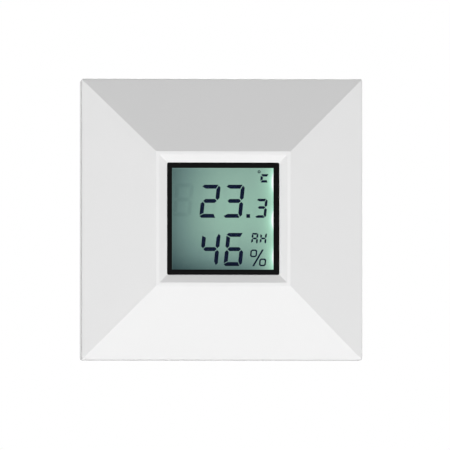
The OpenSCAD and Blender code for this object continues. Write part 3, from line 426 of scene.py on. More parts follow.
def polynomial(f, t, factors):
    total = factors[-1]
    for factor in reversed(factors[:-1]):
        total = f.math("MULTIPLY_ADD", t, total, factor)
    return total


def display_light(f, dimming=None):
    """Colour of the light that comes through the display at a place."""
    u = f.math("DIVIDE", f.x, VIEW_HALF)
    v = f.math("DIVIDE", f.z, VIEW_HALF)
    level = f.times(polynomial(f, u, ACROSS), polynomial(f, v, UPWARD))
    inward = f.math("SUBTRACT", f.x, VIEW_HALF)
    broad = f.times(f.math("EXPONENT", f.math("DIVIDE", inward, BROAD_REACH)), BROAD_LEVEL)
    spots = 0.0
    for height, level_at_lamp in zip(LAMP_HEIGHTS, LAMP_LEVELS):
        off = f.math("DIVIDE", f.math("SUBTRACT", f.z, height), TIGHT_HALF)
        spots = f.add(f.times(f.math("EXPONENT", f.times(off, off, -1.0)), level_at_lamp), spots)
    tight = f.times(f.math("EXPONENT", f.math("DIVIDE", inward, TIGHT_REACH)), spots, TIGHT_LEVEL)
    edge = f.math(
        "MAXIMUM",
        f.math("GREATER_THAN", f.z, VIEW_HALF - EDGE_STRIP),
        f.math("LESS_THAN", f.x, EDGE_STRIP - VIEW_HALF),
    )
    mottle = f.vary(f.noise(1.2 * MM, detail=3.0), 1 - MOTTLE, 1 + MOTTLE)
    level = f.times(f.add(level, broad, tight, f.times(edge, EDGE_LIFT)), mottle)
    if dimming is not None:
        level = f.times(level, dimming)
    return f.ramp(level, LIGHT_COLOURS)


def glowing(name, dimming=None):
    """Film that shows the light of the display; dimming gives a share of it for a finish."""
    f = Finish(name)
    share = dimming(f) if dimming else None
    f.set(base=grey(0.02), rough=0.6, specular=0.0)
    f.set(glow=display_light(f, share), glow_level=1 / (1 - FRONT_FILM_ALPHA))
    return f


def front_film():
    """Clear film: only its outer face has a weak sheen."""
    f = Finish("film")
    low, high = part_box("lcd_front_polarizer")
    outer = f.math("LESS_THAN", f.y, (low.y + high.y) / 2)
    f.set(base=(0.01, 0.015, 0.02, 1), specular=0.15, rough=f.vary(f.noise(0.8 * MM), 0.22, 0.32))
    f.set(alpha=f.times(outer, FRONT_FILM_ALPHA), normal=f.bump(f.noise(0.06 * MM, detail=1.0), 0.4 * UM))
    return f


def clear_glass():
    """Clear in the view, greenish at the cut edges."""
    f = Finish("glass")
    off = f.math("MAXIMUM", f.math("ABSOLUTE", f.x), f.math("ABSOLUTE", f.z))
    edge = f.span(off, GLASS_CLEAR_HALF, GLASS_EDGE_HALF)
    f.set(base=f.blend(f.noise(2 * MM), rgb(120, 165, 150), rgb(150, 190, 176)))
    f.set(rough=0.12, alpha=f.times(edge, GLASS_EDGE_ALPHA))
    return f


def electrode_clear():
    """Clear conductive coating; what shows of it is painted shadow, the dimmed marks on the film behind."""
    f = Finish("electrode")
    f.set(base=f.blend(f.noise(0.5 * MM), rgb(70, 92, 96), rgb(84, 106, 108)))
    f.set(rough=0.5, specular=0.1, alpha=0.0)
    return f


def ink_navy():
    f = Finish("ink")
    f.set(base=f.blend(f.noise(0.35 * MM), rgb(6, 17, 42), rgb(13, 25, 52)), rough=0.7, specular=0.05)
    return f


WEAVE = 0.5 * MM
WEAVE_SHARE = 0.18
CUT_FACING = 0.5


def board_green():
    """Solder mask over a faint weave; bare laminate on the cut edges."""
    f = Finish("board_green")
    weave = f.times(f.wave(f.x, WEAVE), f.wave(f.z, WEAVE))
    mask = f.blend(f.noise(4 * MM, detail=3.0), rgb(8, 74, 44), rgb(14, 88, 54))
    mask = f.blend(f.span(weave, -1, 1, 0.0, WEAVE_SHARE), mask, rgb(40, 112, 70))
    geometry = f.tree.nodes.new("ShaderNodeNewGeometry")
    facing = f.split(geometry.outputs["Normal"])
    cut = f.math("LESS_THAN", f.math("ABSOLUTE", facing["Y"]), CUT_FACING)
    laminate = f.blend(f.noise(0.2 * MM, stretch=(1, 6, 1)), rgb(176, 158, 98), rgb(204, 190, 130))
    f.set(base=f.blend(cut, mask, laminate), rough=f.vary(f.noise(0.6 * MM), 0.30, 0.42))
    f.set(normal=f.bump(weave, 1.2 * UM))
    return f


# Sunk dot by the first lead of a package
DOT_INSET = 0.9 * MM
DOT_RADIUS = 0.35 * MM
DOT_SLOPE = 0.08 * MM
DOT_DEPTH = 25 * UM
DOT_GRAIN = 0.1


def package_black(name, node=None):
    """Moulding compound with a fine grain, and a sunk dot at one corner where a package has one."""
    f = Finish(name)
    grain = f.noise(0.07 * MM, rough=0.6)
    base = f.blend(grain, rgb(26, 26, 28), rgb(44, 44, 46))
    if node:
        low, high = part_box(node)
        dot = f.ring(low.x + DOT_INSET, high.z - DOT_INSET, DOT_RADIUS)
        inside = f.span(dot, 0.0, DOT_SLOPE, 1.0, 0.0)
        base = f.blend(inside, base, rgb(62, 62, 64))
        height = f.math("SUBTRACT", f.times(grain, DOT_GRAIN), inside)
        f.set(normal=f.bump(height, DOT_DEPTH, f.soft_edge(0.1 * MM)))
    else:
        f.set(normal=f.bump(grain, 3 * UM, f.soft_edge(0.08 * MM)))
    f.set(base=base, rough=f.vary(f.noise(0.5 * MM), 0.5, 0.62), specular=0.35)
    return f


# Rows of chip parts along X: place of the first, pitch, length of a part and of its tinned ends
CAPACITOR_ROW = (-24 * MM, 3.6 * MM, 2.0 * MM, 0.42 * MM)
RESISTOR_ROW = (-24 * MM, 2.6 * MM, 1.6 * MM, 0.32 * MM)
RESISTOR_SKIN = 0.06 * MM


def chip_body(name, row, dark, light, face=None):
    """Chip parts in a row, with tinned ends; face is the y beyond which they have a colour of their own."""
    first_x, pitch, length, cap = row
    f = Finish(name)
    step = f.math("DIVIDE", f.math("SUBTRACT", f.x, first_x - pitch / 2), pitch)
    local = f.times(f.math("SUBTRACT", f.math("FRACT", step), 0.5), pitch)
    end = f.math("GREATER_THAN", f.math("ABSOLUTE", local), length / 2 - cap)
    body = f.blend(f.noise(0.12 * MM), dark, light)
    if face:
        surface, colour = face
        body = f.blend(f.math("GREATER_THAN", f.y, surface), body, colour)
    tinned = f.blend(f.noise(0.2 * MM), grey(0.52), grey(0.68))
    f.set(base=f.blend(end, body, tinned), metal=end, rough=f.vary(f.noise(0.15 * MM), 0.28, 0.42))
    f.set(normal=f.bump(f.noise(0.1 * MM), 3 * UM, f.soft_edge(0.06 * MM)))
    return f


STRIPE_PITCH = 0.25 * MM
STRIPE_EDGE = 0.2


def striped_rubber():
    """Contact strip: thin black conducting layers between pale ones."""
    f = Finish("strip_rubber")
    stripe = f.span(f.wave(f.x, STRIPE_PITCH), -STRIPE_EDGE, STRIPE_EDGE)
    f.set(base=f.blend(stripe, rgb(24, 24, 26), rgb(196, 150, 140)), rough=0.75, specular=0.3)
    f.set(normal=f.bump(f.noise(0.1 * MM), 2 * UM))
    return f


def foam_black():
    f = Finish("foam")
    pores = f.cells(0.16 * MM)
    f.set(base=f.blend(f.span(pores, 0.1, 0.6), rgb(12, 12, 12), rgb(46, 46, 46)), rough=0.95, specular=0.1)
    f.set(normal=f.bump(pores, 60 * UM))
    return f


FIBRE = 0.06 * MM
FIBRE_LENGTH = 6


def membrane_white():
    """Porous filter film: fine crossing fibres."""
    f = Finish("membrane")
    upright = f.noise(FIBRE, stretch=(1, 1, FIBRE_LENGTH))
    level = f.noise(FIBRE, stretch=(FIBRE_LENGTH, 1, 1))
    fibres = f.math("MAXIMUM", upright, level)
    f.set(base=f.blend(fibres, grey(0.68), grey(0.86)), rough=0.9, specular=0.2)
    f.set(normal=f.bump(fibres, 12 * UM))
    return f


CORE_RADIUS = 0.2 * MM
CORE_FADE = 0.6 * MM


def light_lamp(name, lens, core, node):
    """Small lamp: clear lens, with its coloured middle showing."""
    f = Finish(name)
    low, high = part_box(node)
    middle = (low + high) / 2
    spot = f.span(f.ring(middle.x, middle.z, 0.0), CORE_RADIUS, CORE_FADE, 1.0, 0.0, smooth=True)
    clear = f.blend(f.noise(0.2 * MM), lens, grey(0.8))
    f.set(base=f.blend(spot, clear, core), rough=0.18, coat=0.4)
    f.set(normal=f.bump(f.noise(0.3 * MM), 2 * UM, f.soft_edge(0.1 * MM)))
    return f


def paint_casing():
    coat(shell_white(), "front_bezel")
    plate = moulded_plastic("plate_white", grey(0.74), grey(0.79), rough=0.55, grain=0.14 * MM, depth=8 * UM)
    coat(plate, "back_plate", "snap_hooks")


def paint_display():
    black = moulded_plastic(
        "frame_black", grey(0.003), grey(0.005), rough=0.55, grain=0.4 * MM, depth=3 * UM, specular=0.03
    )
    coat(black, "lcd_frame")
    coat(foam_black(), "lcd_gasket")
    coat(front_film(), "lcd_front_polarizer")
    coat(clear_glass(), "lcd_front_glass", "lcd_rear_glass")
    seal = moulded_plastic(
        "seal", rgb(96, 112, 104), rgb(120, 134, 126), rough=0.5, grain=0.1 * MM, depth=2 * UM
    )
    coat(seal, "lcd_seal")
    coat(ink_navy(), "lcd_segments")
    coat(electrode_clear(), "lcd_faint_segments")
    coat(glowing("film_lit"), "lcd_rear_polarizer")
    coat(glowing("diffuser"), "backlight_diffuser")
    guide = moulded_plastic(
        "light_guide", rgb(190, 222, 206), rgb(214, 236, 226), rough=0.15, grain=0.4 * MM, depth=4 * UM
    )
    coat(guide, "backlight_guide")
    reflector = moulded_plastic(
        "reflector", grey(0.82), grey(0.88), rough=0.6, grain=0.05 * MM, depth=1 * UM
    )
    coat(reflector, "backlight_reflector")
    leds = moulded_plastic(
        "led_white", rgb(232, 226, 170), rgb(240, 240, 214), rough=0.35, grain=0.1 * MM, depth=2 * UM
    )
    coat(leds, "backlight_leds")
    coat(striped_rubber(), "contact_strips")


def paint_main_board():
    for name in ("controller_chip", "transceiver_chip", "regulator"):
        coat(package_black("package_" + name, name), name)
    coat(metal("tin", grey(0.56), grey(0.70), rough=0.33), "chip_leads")
    coat(metal("can", grey(0.50), grey(0.66), rough=0.30, stretch=(8, 1, 1)), "crystal")
    ferrite = moulded_plastic(
        "ferrite", rgb(38, 38, 40), rgb(66, 66, 68), rough=0.62, grain=0.09 * MM, depth=12 * UM,
        specular=0.35, cloud=1 * MM,
    )
    coat(ferrite, "inductor")
    coat(chip_body("ceramic_tan", CAPACITOR_ROW, rgb(150, 116, 80), rgb(176, 142, 102)), "capacitors")
    skin = (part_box("resistors")[1].y - RESISTOR_SKIN, rgb(22, 22, 24))
    coat(chip_body("ceramic_black", RESISTOR_ROW, grey(0.62), grey(0.74), skin), "resistors")
    coat(membrane_white(), "sensor_membrane")
    button = moulded_plastic(
        "button_grey", rgb(148, 150, 152), rgb(166, 168, 170), rough=0.5, grain=0.1 * MM, depth=4 * UM
    )
    coat(button, "program_button")
    coat(light_lamp("lamp", rgb(214, 230, 216), rgb(92, 176, 96), "status_led"), "status_led")


def paint_shared():
    """Finishes that pieces of the cover and of the base have in common, and those of the terminals."""
    poles = range(1, 5)
    coat(board_green(), "main_board", "terminal_board")
    coat(package_black("package_black"), "sensor_chip", "program_switch", "plug_socket", "plug_base")
    steel = metal("steel", grey(0.42), grey(0.60), rough=0.30, stretch=(1, 6, 1))
    coat(steel, "switch_dome", "board_screws", "terminal_board_screws", *[f"clamp_screw_{i}" for i in poles])
    brass = metal("brass", rgb(170, 138, 72), rgb(206, 174, 100), rough=0.30, stretch=(1, 8, 1))
    coat(brass, "plug_pins", "terminal_bars")
    zinc = metal("zinc", rgb(170, 172, 170), rgb(204, 206, 206), rough=0.36, stretch=(1, 6, 1))
    coat(zinc, *[f"clamp_cage_{i}" for i in poles])
    green = moulded_plastic(
        "terminal_green", rgb(22, 104, 62), rgb(34, 122, 76), rough=0.42, grain=0.12 * MM, depth=4 * UM
    )
    coat(green, "terminal_block")


# Painted shadows of the figures that are off: the display light, dimmed, on the film behind the cell, a little
# up and to the left.
# Left of MARK_STRONG_X they are stronger.
MARK_SHIFT_X = -0.7 * MM
MARK_SHIFT_Z = 0.45 * MM
MARK_DEPTH = 0.008 * MM
MARK_STRONG_X = -8.6 * MM
MARK_FADE = 0.1 * MM
MARK_STRONG = 0.90
MARK_WEAK = 0.965


# Share of the display light that is left in the painted shadows
def shadow_dimming(f):
    return f.span(f.x, MARK_STRONG_X, MARK_STRONG_X + MARK_FADE, MARK_STRONG, MARK_WEAK)


def faint_marks():
    film_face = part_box("lcd_rear_polarizer")[0].y
    low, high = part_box("lcd_faint_segments")
    middle = (low.y + high.y) / 2
    mesh = NODES["lcd_faint_segments"].data.copy()
    mesh.name = "lcd_painted_shadows"
    for vertex in mesh.vertices:
        front = vertex.co.y < middle
        vertex.co.x += MARK_SHIFT_X
        vertex.co.z += MARK_SHIFT_Z
        vertex.co.y = film_face - (MARK_DEPTH if front else 0.0)
    marks = add_object("lcd_painted_shadows", mesh)
    mesh.materials.clear()
    # Painted shadow: the marks glow with the display light, dimmed
    mesh.materials.append(glowing("ink_faint", shadow_dimming).material)
    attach(marks, "cover")


def spring_dome():
    """The snap dome of the switch, as a piece of its own on the cover."""
    dome = add_object("switch_dome_spring", NODES["switch_dome"].data.copy())
    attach(dome, "cover")
    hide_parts("switch_dome")
    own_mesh(dome)


# Copper, print and solder on the boards: thin shapes that stand on a board face and reach SINK into it.
# COPPER, PRINT and TINNED are heights over the face, PRINT_LINE and TRACK are widths. A track's bend is cut off
# BEND before its corner, but no further than the stretch beside it divided by BEND_SHARE.
SINK = 0.006 * MM
COPPER = 0.03 * MM
PRINT = 0.04 * MM
TINNED = 0.05 * MM
PRINT_LINE = 0.16 * MM
TRACK = 0.24 * MM
BEND = 0.6 * MM
BEND_SHARE = 2.1
CIRCLE_SIDES = 20
SAME_PLACE = 1e-7


def islands(name):
    """Boxes of the separate solids in a node, as low and high corners."""
    mesh = NODES[name].data
    places, owner = {}, []
    for vertex in mesh.vertices:
        owner.append(places.setdefault(tuple(round(c / SAME_PLACE) for c in vertex.co), len(places)))
    parent = list(range(len(places)))

    def root(i):
        while parent[i] != i:
            i = parent[i]
        return i

    for face in mesh.polygons:
        first = root(owner[face.vertices[0]])
        for v in face.vertices[1:]:
            parent[root(owner[v])] = first
    groups = {}
    for vertex, place in zip(mesh.vertices, owner):
        groups.setdefault(root(place), []).append(vertex.co)
    return [
        tuple(Vector([pick(c[i] for c in group) for i in range(3)]) for pick in (min, max))
        for group in groups.values()
    ]


def middle_of(box):
    return (box[0] + box[1]) / 2


def corners(x0, x1, z0, z1):
    return [(x0, z0), (x1, z0), (x1, z1), (x0, z1)]


def circle(x, z, radius):
    turns = [2 * math.pi * i / CIRCLE_SIDES for i in range(CIRCLE_SIDES)]
    return [(x + radius * math.cos(t), z + radius * math.sin(t)) for t in turns]


def mm(*places):
    return [(x * MM, z * MM) for x, z in places]


def spread(count, pitch):
    """Places of a row, even about zero."""
    return [(i - (count - 1) / 2) * pitch for i in range(count)]


class Relief:
    """Thin shapes on a board face, gathered into one mesh.

    The face lies at one y, and outward is 1 or -1, the way along Y that it looks.
    """

    def __init__(self, face, outward):
        self.face, self.outward = face, outward
        self.points, self.faces = [], []

    def put(self, x, z, level):
        self.points.append((x, self.face + self.outward * level, z))

    def solid(self, outline, heights):
        """Body over an outline of (x, z) points, with its own height at each of them."""
        start, n = len(self.points), len(outline)
        for x, z in outline:
            self.put(x, z, -SINK)
        for (x, z), height in zip(outline, heights):
            self.put(x, z, height)
        self.faces.append(tuple(range(start, start + n)))
        self.faces.append(tuple(range(start + 2 * n - 1, start + n - 1, -1)))
        for i in range(n):
            j = (i + 1) % n
            self.faces.append((start + j, start + i, start + n + i, start + n + j))

    def plate(self, outline, height):
        self.solid(outline, [height] * len(outline))

    def hoop(self, outer, inner, height):
        """Closed band between two outlines with the same number of points."""
        start, n = len(self.points), len(outer)
        for (xo, zo), (xi, zi) in zip(outer, inner):
            for x, z, level in ((xi, zi, -SINK), (xo, zo, -SINK), (xo, zo, height), (xi, zi, height)):
                self.put(x, z, level)
        for i in range(n):
            a, b = start + 4 * i, start + 4 * ((i + 1) % n)
            for j in range(4):
                k = (j + 1) % 4
                self.faces.append((a + j, a + k, b + k, b + j))

    def ring(self, x, z, inner, outer, height):
        self.hoop(circle(x, z, outer), circle(x, z, inner), height)

    def print_ring(self, x, z, radius):
        self.ring(x, z, radius, radius + PRINT_LINE, PRINT)

    def print_box(self, box, dx, dz):
        """Printed line round a box, with these margins."""
        x0, x1, z0, z1 = box[0].x - dx, box[1].x + dx, box[0].z - dz, box[1].z + dz
        w = PRINT_LINE
        self.hoop(corners(x0, x1, z0, z1), corners(x0 + w, x1 - w, z0 + w, z1 - w), PRINT)

    def track(self, places, width=TRACK, height=COPPER, cut=BEND):
        """Track along corner points, whose bends are cut off at a slant."""
        ends = [Vector(p) for p in places]
        line = [ends[0]]
        for before, corner, after in zip(ends, ends[1:], ends[2:]):
            back, on = before - corner, after - corner
            reach = min(cut, back.length / BEND_SHARE, on.length / BEND_SHARE)
            line += [corner + back.normalized() * reach, corner + on.normalized() * reach]
        line.append(ends[-1])
        ways = [(b - a).normalized() for a, b in zip(line, line[1:])]
        left, right = [], []
        for place, into, out in zip(line, ways[:1] + ways, ways + ways[-1:]):
            side = Vector((-into.y - out.y, into.x + out.x)).normalized()
            shift = side * (width / 2 / side.dot(Vector((-into.y, into.x))))
            left.append(tuple(place + shift))
            right.append(tuple(place - shift))
        self.plate(left + right[::-1], height)

    def piece(self, name, finish, slot, body):
        mesh = bpy.data.meshes.new(name)
        mesh.from_pydata(self.points, [], self.faces)
        shape = bmesh.new()
        shape.from_mesh(mesh)
        bmesh.ops.recalc_face_normals(shape, faces=shape.faces)
        shape.to_mesh(mesh)
        shape.free()
        mesh.materials.append(finish.material)
        obj = add_object(name, mesh)
        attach(obj, body)


# Solder joints in millimetres: pad under the part, pad beside it, margin at its sides, height of the solder
JOINTS = {
    "chip_leads": (0.45, 0.3, 0.04, 0.15),
    "capacitors": (0.42, 0.45, 0.08, 0.55),
    "resistors": (0.32, 0.4, 0.06, 0.3),
    "crystal": (0.8, 0.5, 0.1, 0.3),
    "inductor": (0.9, 0.6, 0.1, 0.7),
    "status_led": (0.4, 0.45, 0.05, 0.35),
    "program_switch": (0.5, 1.0, 0.15, 0.4),
    "sensor_chip": (0.3, 0.3, 0.03, 0.2),
    "plug_socket": (0.5, 0.9, 0.12, 0.4),
}
# Contacts narrower than their part, in millimetres: places off its middle, then half the width
CONTACTS = {
    "crystal": ((0.0,), 1.2),
    "inductor": ((0.0,), 1.4),
    "program_switch": ((-2.25, 2.25), 0.4),
    "sensor_chip": ((-0.975, -0.325, 0.325, 0.975), 0.14),
}
PLUG_CONTACTS = (-3, -1, 1, 3)
PLUG_CONTACT_HALF = 0.35
SOLDER_FOOT = 0.01 * MM
BARE_SHARE = 4
LEAD_SLACK = 0.01 * MM
LEFT, RIGHT, DOWN, UP = (-1, 0), (1, 0), (0, -1), (0, 1)
X_AXIS, Z_AXIS = 0, 2


def toe(pads, solder, box, way, joint):
    """Pad under one end of a part, and the solder that climbs up it; way is the end, as (x, z)."""
    foot, out, margin, rise = [size * MM for size in joint]
    low, high = box
    along, across = (X_AXIS, Z_AXIS) if way[0] else (Z_AXIS, X_AXIS)
    side = way[0] + way[1]
    end = (high if side > 0 else low)[along]
    inner, outer = end - side * foot, end + side * out
    wetted = outer - side * out / BARE_SHARE
    first, last = low[across], high[across]
    pad = corners(inner, outer, first - margin, last + margin)
    bead = corners(end, wetted, first, last)
    if way[1]:
        pad, bead = [[(b, a) for a, b in outline] for outline in (pad, bead)]
    pads.plate(pad, TINNED)
    solder.solid(bead, [rise, TINNED + SOLDER_FOOT, TINNED + SOLDER_FOOT, rise])


def slice_of(box, axis, off, half):
    """Part of a box round a place off its middle along one axis."""
    low, high = box[0].copy(), box[1].copy()
    place = middle_of(box)[axis] + off
    low[axis], high[axis] = place - half, place + half
    return low, high


def end_of_lead(lead, chip):
    """The way a lead points out of its package."""
    if lead[1].x < chip[0].x + LEAD_SLACK:
        return LEFT
    if lead[0].x > chip[1].x - LEAD_SLACK:
        return RIGHT
    return DOWN if lead[1].z < chip[0].z + LEAD_SLACK else UP


def solder_parts(pads, solder):
    """Pads and solder at the ends of all parts on the main board."""
    chips = [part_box(n) for n in ("controller_chip", "transceiver_chip", "regulator")]
    for lead in islands("chip_leads"):
        chip = min(chips, key=lambda c: (middle_of(c) - middle_of(lead)).length)
        toe(pads, solder, lead, end_of_lead(lead, chip), JOINTS["chip_leads"])
    for way in (LEFT, RIGHT):
        for name in ("capacitors", "resistors"):
            for part in islands(name):
                toe(pads, solder, part, way, JOINTS[name])
        toe(pads, solder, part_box("status_led"), way, JOINTS["status_led"])
        for name, (places, half) in CONTACTS.items():
            for off in places:
                contact = slice_of(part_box(name), Z_AXIS, off * MM, half * MM)
                toe(pads, solder, contact, way, JOINTS[name])
    for off in PLUG_CONTACTS:
        contact = slice_of(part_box("plug_socket"), X_AXIS, off * MM, PLUG_CONTACT_HALF * MM)
        for way in (DOWN, UP):
            toe(pads, solder, contact, way, JOINTS["plug_socket"])


# Where tracks meet the pads of the main board, in millimetres
CONTROLLER_RIGHT = -4.3
CONTROLLER_BOTTOM = -2.7
CONTROLLER_TOP = 6.6
CONTROLLER_PITCH = 0.5
TRANSCEIVER_BOTTOM = -0.1
TRANSCEIVER_X = (8.09, 9.36, 10.63)
PLUG_BOTTOM = 12.7
CAPACITOR_TOP = -9.0
CAPACITOR_BOTTOM = -9.5
RESISTOR_TOP = -12.8
SENSOR_TOP = -26.6
SENSOR_LINES = 4
SENSOR_PITCH = 0.7
FINE_BEND = 0.3 * MM

# From the controller to the transceiver: z of the first lead, x and z of the first track's turns, and the steps
# from one track to the next
BUS_Z = 0.25
BUS_TURN_X = -3.0
BUS_TURN_STEP = 0.2
BUS_LEVEL = -1.5
BUS_LEVEL_STEP = 0.5

# From the controller up to the plug: x of the first lead, z of the first track's level stretch
PLUG_LEAD_X = -7.75
PLUG_LEVEL = 10.2
PLUG_LEVEL_STEP = 0.6
PLUG_BEND = 0.5 * MM

# From the controller down to the capacitors, and from these to the resistors: x at the start and at the end.
# A track that goes further aside bends lower.
TO_CAPACITORS = (
    (-11.75, -14.5), (-10.75, -11.9), (-9.75, -10.9), (-8.25, -8.3), (-7.25, -7.35), (-6.25, -4.65),
)
FAN_Z = -4.2
FAN_DROP = 0.2
TO_RESISTORS = ((-14.5, -14.7), (-11.9, -12.1), (-8.3, -7.35), (-4.7, -4.75))
LINK_TOP = -10.6
LINK_BOTTOM = -11.4

# From the sensor up to its row of vias, where the tracks spread out
SPREAD_BOTTOM = -24.0
SPREAD_TOP = -22.4
SPREAD_END = -20.6
SENSOR_VIA_PITCH = 2.2
SENSOR_VIA_Z = -20.2

# Single tracks: width, slant at the bends, corner points
SINGLE_TRACKS = (
    # Crystal to controller
    (0.24, 0.2, ((-13.7, 2.75), (-15.0, 2.75), (-15.0, 3.0), (-16.2, 3.0))),
    (0.24, 0.6, ((-13.7, 1.25), (-14.6, 1.25), (-14.6, 0.4), (-22.6, 0.4), (-22.6, 3.0), (-21.9, 3.0))),
    # Transceiver to plug
    (0.4, 0.6, ((8.09, 6.2), (8.09, 19.2), (3.0, 19.2), (3.0, 18.5))),
    (0.4, 0.6, ((9.36, 6.2), (9.36, 20.1), (1.0, 20.1), (1.0, 18.5))),
    # Transceiver to regulator
    (0.5, 0.6, ((11.9, 6.2), (11.9, 9.4), (14.6, 9.4), (14.6, 13.6), (20.0, 13.6), (20.0, 12.9))),
    # Regulator to inductor
    (0.8, 0.6, ((17.7, 7.1), (17.7, 4.4), (16.6, 4.4), (16.6, 0.5), (18.2, 0.5))),
    (0.8, 0.6, ((22.3, 7.1), (22.3, 5.2), (25.2, 5.2), (25.2, 0.5), (23.9, 0.5))),
    # Program switch to a resistor and to a via
    (0.24, 0.6, ((10.2, -17.75), (1.2, -17.75), (-3.6, -17.75), (-3.6, -13.0), (-4.5, -13.0))),
    (0.24, 0.6, ((17.9, -17.75), (19.0, -17.75), (19.0, -16.4), (26.5, -16.4), (26.5, -8.0))),
    # Status lamp to a via
    (0.24, 0.6, ((22.4, -20.0), (24.0, -20.0), (24.0, -24.0), (12.0, -24.6))),
)

# Wide copper under the row of test pads
POUR = (
    (1.6, -4.6), (15.4, -4.6), (16.4, -5.6), (16.4, -14.6),
    (15.4, -15.6), (-1.0, -15.6), (-2.2, -14.4), (-2.2, -8.4),
)


def run_tracks(tracks):
    """Copper between the parts of the main board, under the mask."""
    for k, x in enumerate(TRANSCEIVER_X):
        z = BUS_Z - CONTROLLER_PITCH * k
        turn = BUS_TURN_X - BUS_TURN_STEP * k
        level = BUS_LEVEL - BUS_LEVEL_STEP * k
        tracks.track(mm((CONTROLLER_RIGHT, z), (turn, z), (turn, level), (x, level), (x, TRANSCEIVER_BOTTOM)))
    for lead, end in TO_CAPACITORS:
        aside = abs(end - lead)
        bend = FAN_Z - aside * FAN_DROP
        places = ((lead, CONTROLLER_BOTTOM), (lead, bend), (end, bend - aside), (end, CAPACITOR_TOP))
        tracks.track(mm(*places), cut=FINE_BEND)
    for cap, resistor in TO_RESISTORS:
        places = ((cap, CAPACITOR_BOTTOM), (cap, LINK_TOP), (resistor, LINK_BOTTOM), (resistor, RESISTOR_TOP))
        tracks.track(mm(*places), cut=FINE_BEND)
    for k, pad in enumerate(PLUG_CONTACTS):
        lead = PLUG_LEAD_X + CONTROLLER_PITCH * k
        level = PLUG_LEVEL - PLUG_LEVEL_STEP * k
        places = ((lead, CONTROLLER_TOP), (lead, level), (pad, level), (pad, PLUG_BOTTOM))
        tracks.track(mm(*places), cut=PLUG_BEND)
    for x, out in zip(spread(SENSOR_LINES, SENSOR_PITCH), spread(SENSOR_LINES, SENSOR_VIA_PITCH)):
        places = ((x, SENSOR_TOP), (x, SPREAD_BOTTOM), (out, SPREAD_TOP), (out, SPREAD_END))
        tracks.track(mm(*places), cut=FINE_BEND)
    for width, cut, places in SINGLE_TRACKS:
        tracks.track(mm(*places), width * MM, cut=cut * MM)
    tracks.plate(mm(*POUR), COPPER)


# Vias of the main board in millimetres: at the ends of tracks, round the wide copper, and in rows
VIAS = [(26.5, -7.6), (12.0, -24.6), (-16.0, -5.4), (-18.5, -5.4)]
VIAS += [(x, SENSOR_VIA_Z) for x in spread(SENSOR_LINES, SENSOR_VIA_PITCH)]
VIAS += [(x, -15.0) for x in range(0, 16, 3)]
VIAS += [(15.8, z) for z in (-12, -9, -6)]
VIAS += [(x, -17.0) for x in range(-26, -7, 4)]
VIAS += [(x, z) for x in (28.5, -29.5) for z in range(-20, 12, 5)]
VIA_BORE = 0.16 * MM
VIA_RADIUS = 0.36 * MM

# Two rows of test pads: x of the first, z; the pads of the first row have a printed ring
TEST_ROWS = ((2.4, -8.2), (-24.0, -21.5))
TEST_COUNT = 5
TEST_PITCH = 2.9
TEST_RADIUS = 0.75 * MM
TEST_PRINT = 1.0 * MM

# Rings round the screws
SCREW_BORE = 1.9 * MM
MAIN_SCREW_PAD = 3.0 * MM
MAIN_SCREW_PRINT = 3.3 * MM
TERMINAL_SCREW_PAD = 2.9 * MM


def test_pads(row):
    x, z = row
    return mm(*[(x + TEST_PITCH * i, z) for i in range(TEST_COUNT)])


def screw_places(name):
    return [(middle_of(box).x, middle_of(box).z) for box in islands(name)]


def place_pads(pads):
    """Vias, test pads and screw rings of the main board."""
    for x, z in mm(*VIAS):
        pads.ring(x, z, VIA_BORE, VIA_RADIUS, TINNED)
    for row in TEST_ROWS:
        for x, z in test_pads(row):
            pads.plate(circle(x, z, TEST_RADIUS), TINNED)
    for x, z in screw_places("board_screws"):
        pads.ring(x, z, SCREW_BORE, MAIN_SCREW_PAD, TINNED)


# Margins of the printed outlines along X and Z, in millimetres
OUTLINES = {
    "crystal": (0.9, 0.45),
    "inductor": (0.95, 0.5),
    "regulator": (0.4, 1.6),
    "program_switch": (1.4, 0.4),
    "status_led": (0.75, 0.45),
    "plug_socket": (0.6, 1.3),
    "sensor_chip": (0.6, 0.4),
    "transceiver_chip": (0.35, 1.7),
}
ROW_OUTLINE = (0.62 * MM, 0.32 * MM)

# Angles at the corners of the controller, and dots by the first leads
ANGLE_OFF = 1.75 * MM
ANGLE_ARM = 1.3 * MM
ANGLE_BEND = 0.05 * MM
LEAD_DOT_OFF = 0.9 * MM
LEAD_DOT_RADIUS = 0.3 * MM
TRANSCEIVER_DOT = (6.7 * MM, 6.4 * MM)


def print_outlines(ink):
    """White outlines round the parts of the main board, with marks at the first leads."""
    for name in ("capacitors", "resistors"):
        for part in islands(name):
            ink.print_box(part, *ROW_OUTLINE)
    for name, (dx, dz) in OUTLINES.items():
        ink.print_box(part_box(name), dx * MM, dz * MM)
    low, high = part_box("controller_chip")
    for x, sx in ((low.x - ANGLE_OFF, 1), (high.x + ANGLE_OFF, -1)):
        for z, sz in ((low.z - ANGLE_OFF, 1), (high.z + ANGLE_OFF, -1)):
            arms = [(x + sx * ANGLE_ARM, z), (x, z), (x, z + sz * ANGLE_ARM)]
            ink.track(arms, PRINT_LINE, PRINT, ANGLE_BEND)
    for x, z in ((low.x - LEAD_DOT_OFF, high.z + LEAD_DOT_OFF), TRANSCEIVER_DOT):
        ink.plate(circle(x, z, LEAD_DOT_RADIUS), PRINT)
    for x, z in screw_places("board_screws"):
        ink.print_ring(x, z, MAIN_SCREW_PRINT)
    for x, z in test_pads(TEST_ROWS[0]):
        ink.print_ring(x, z, TEST_PRINT)


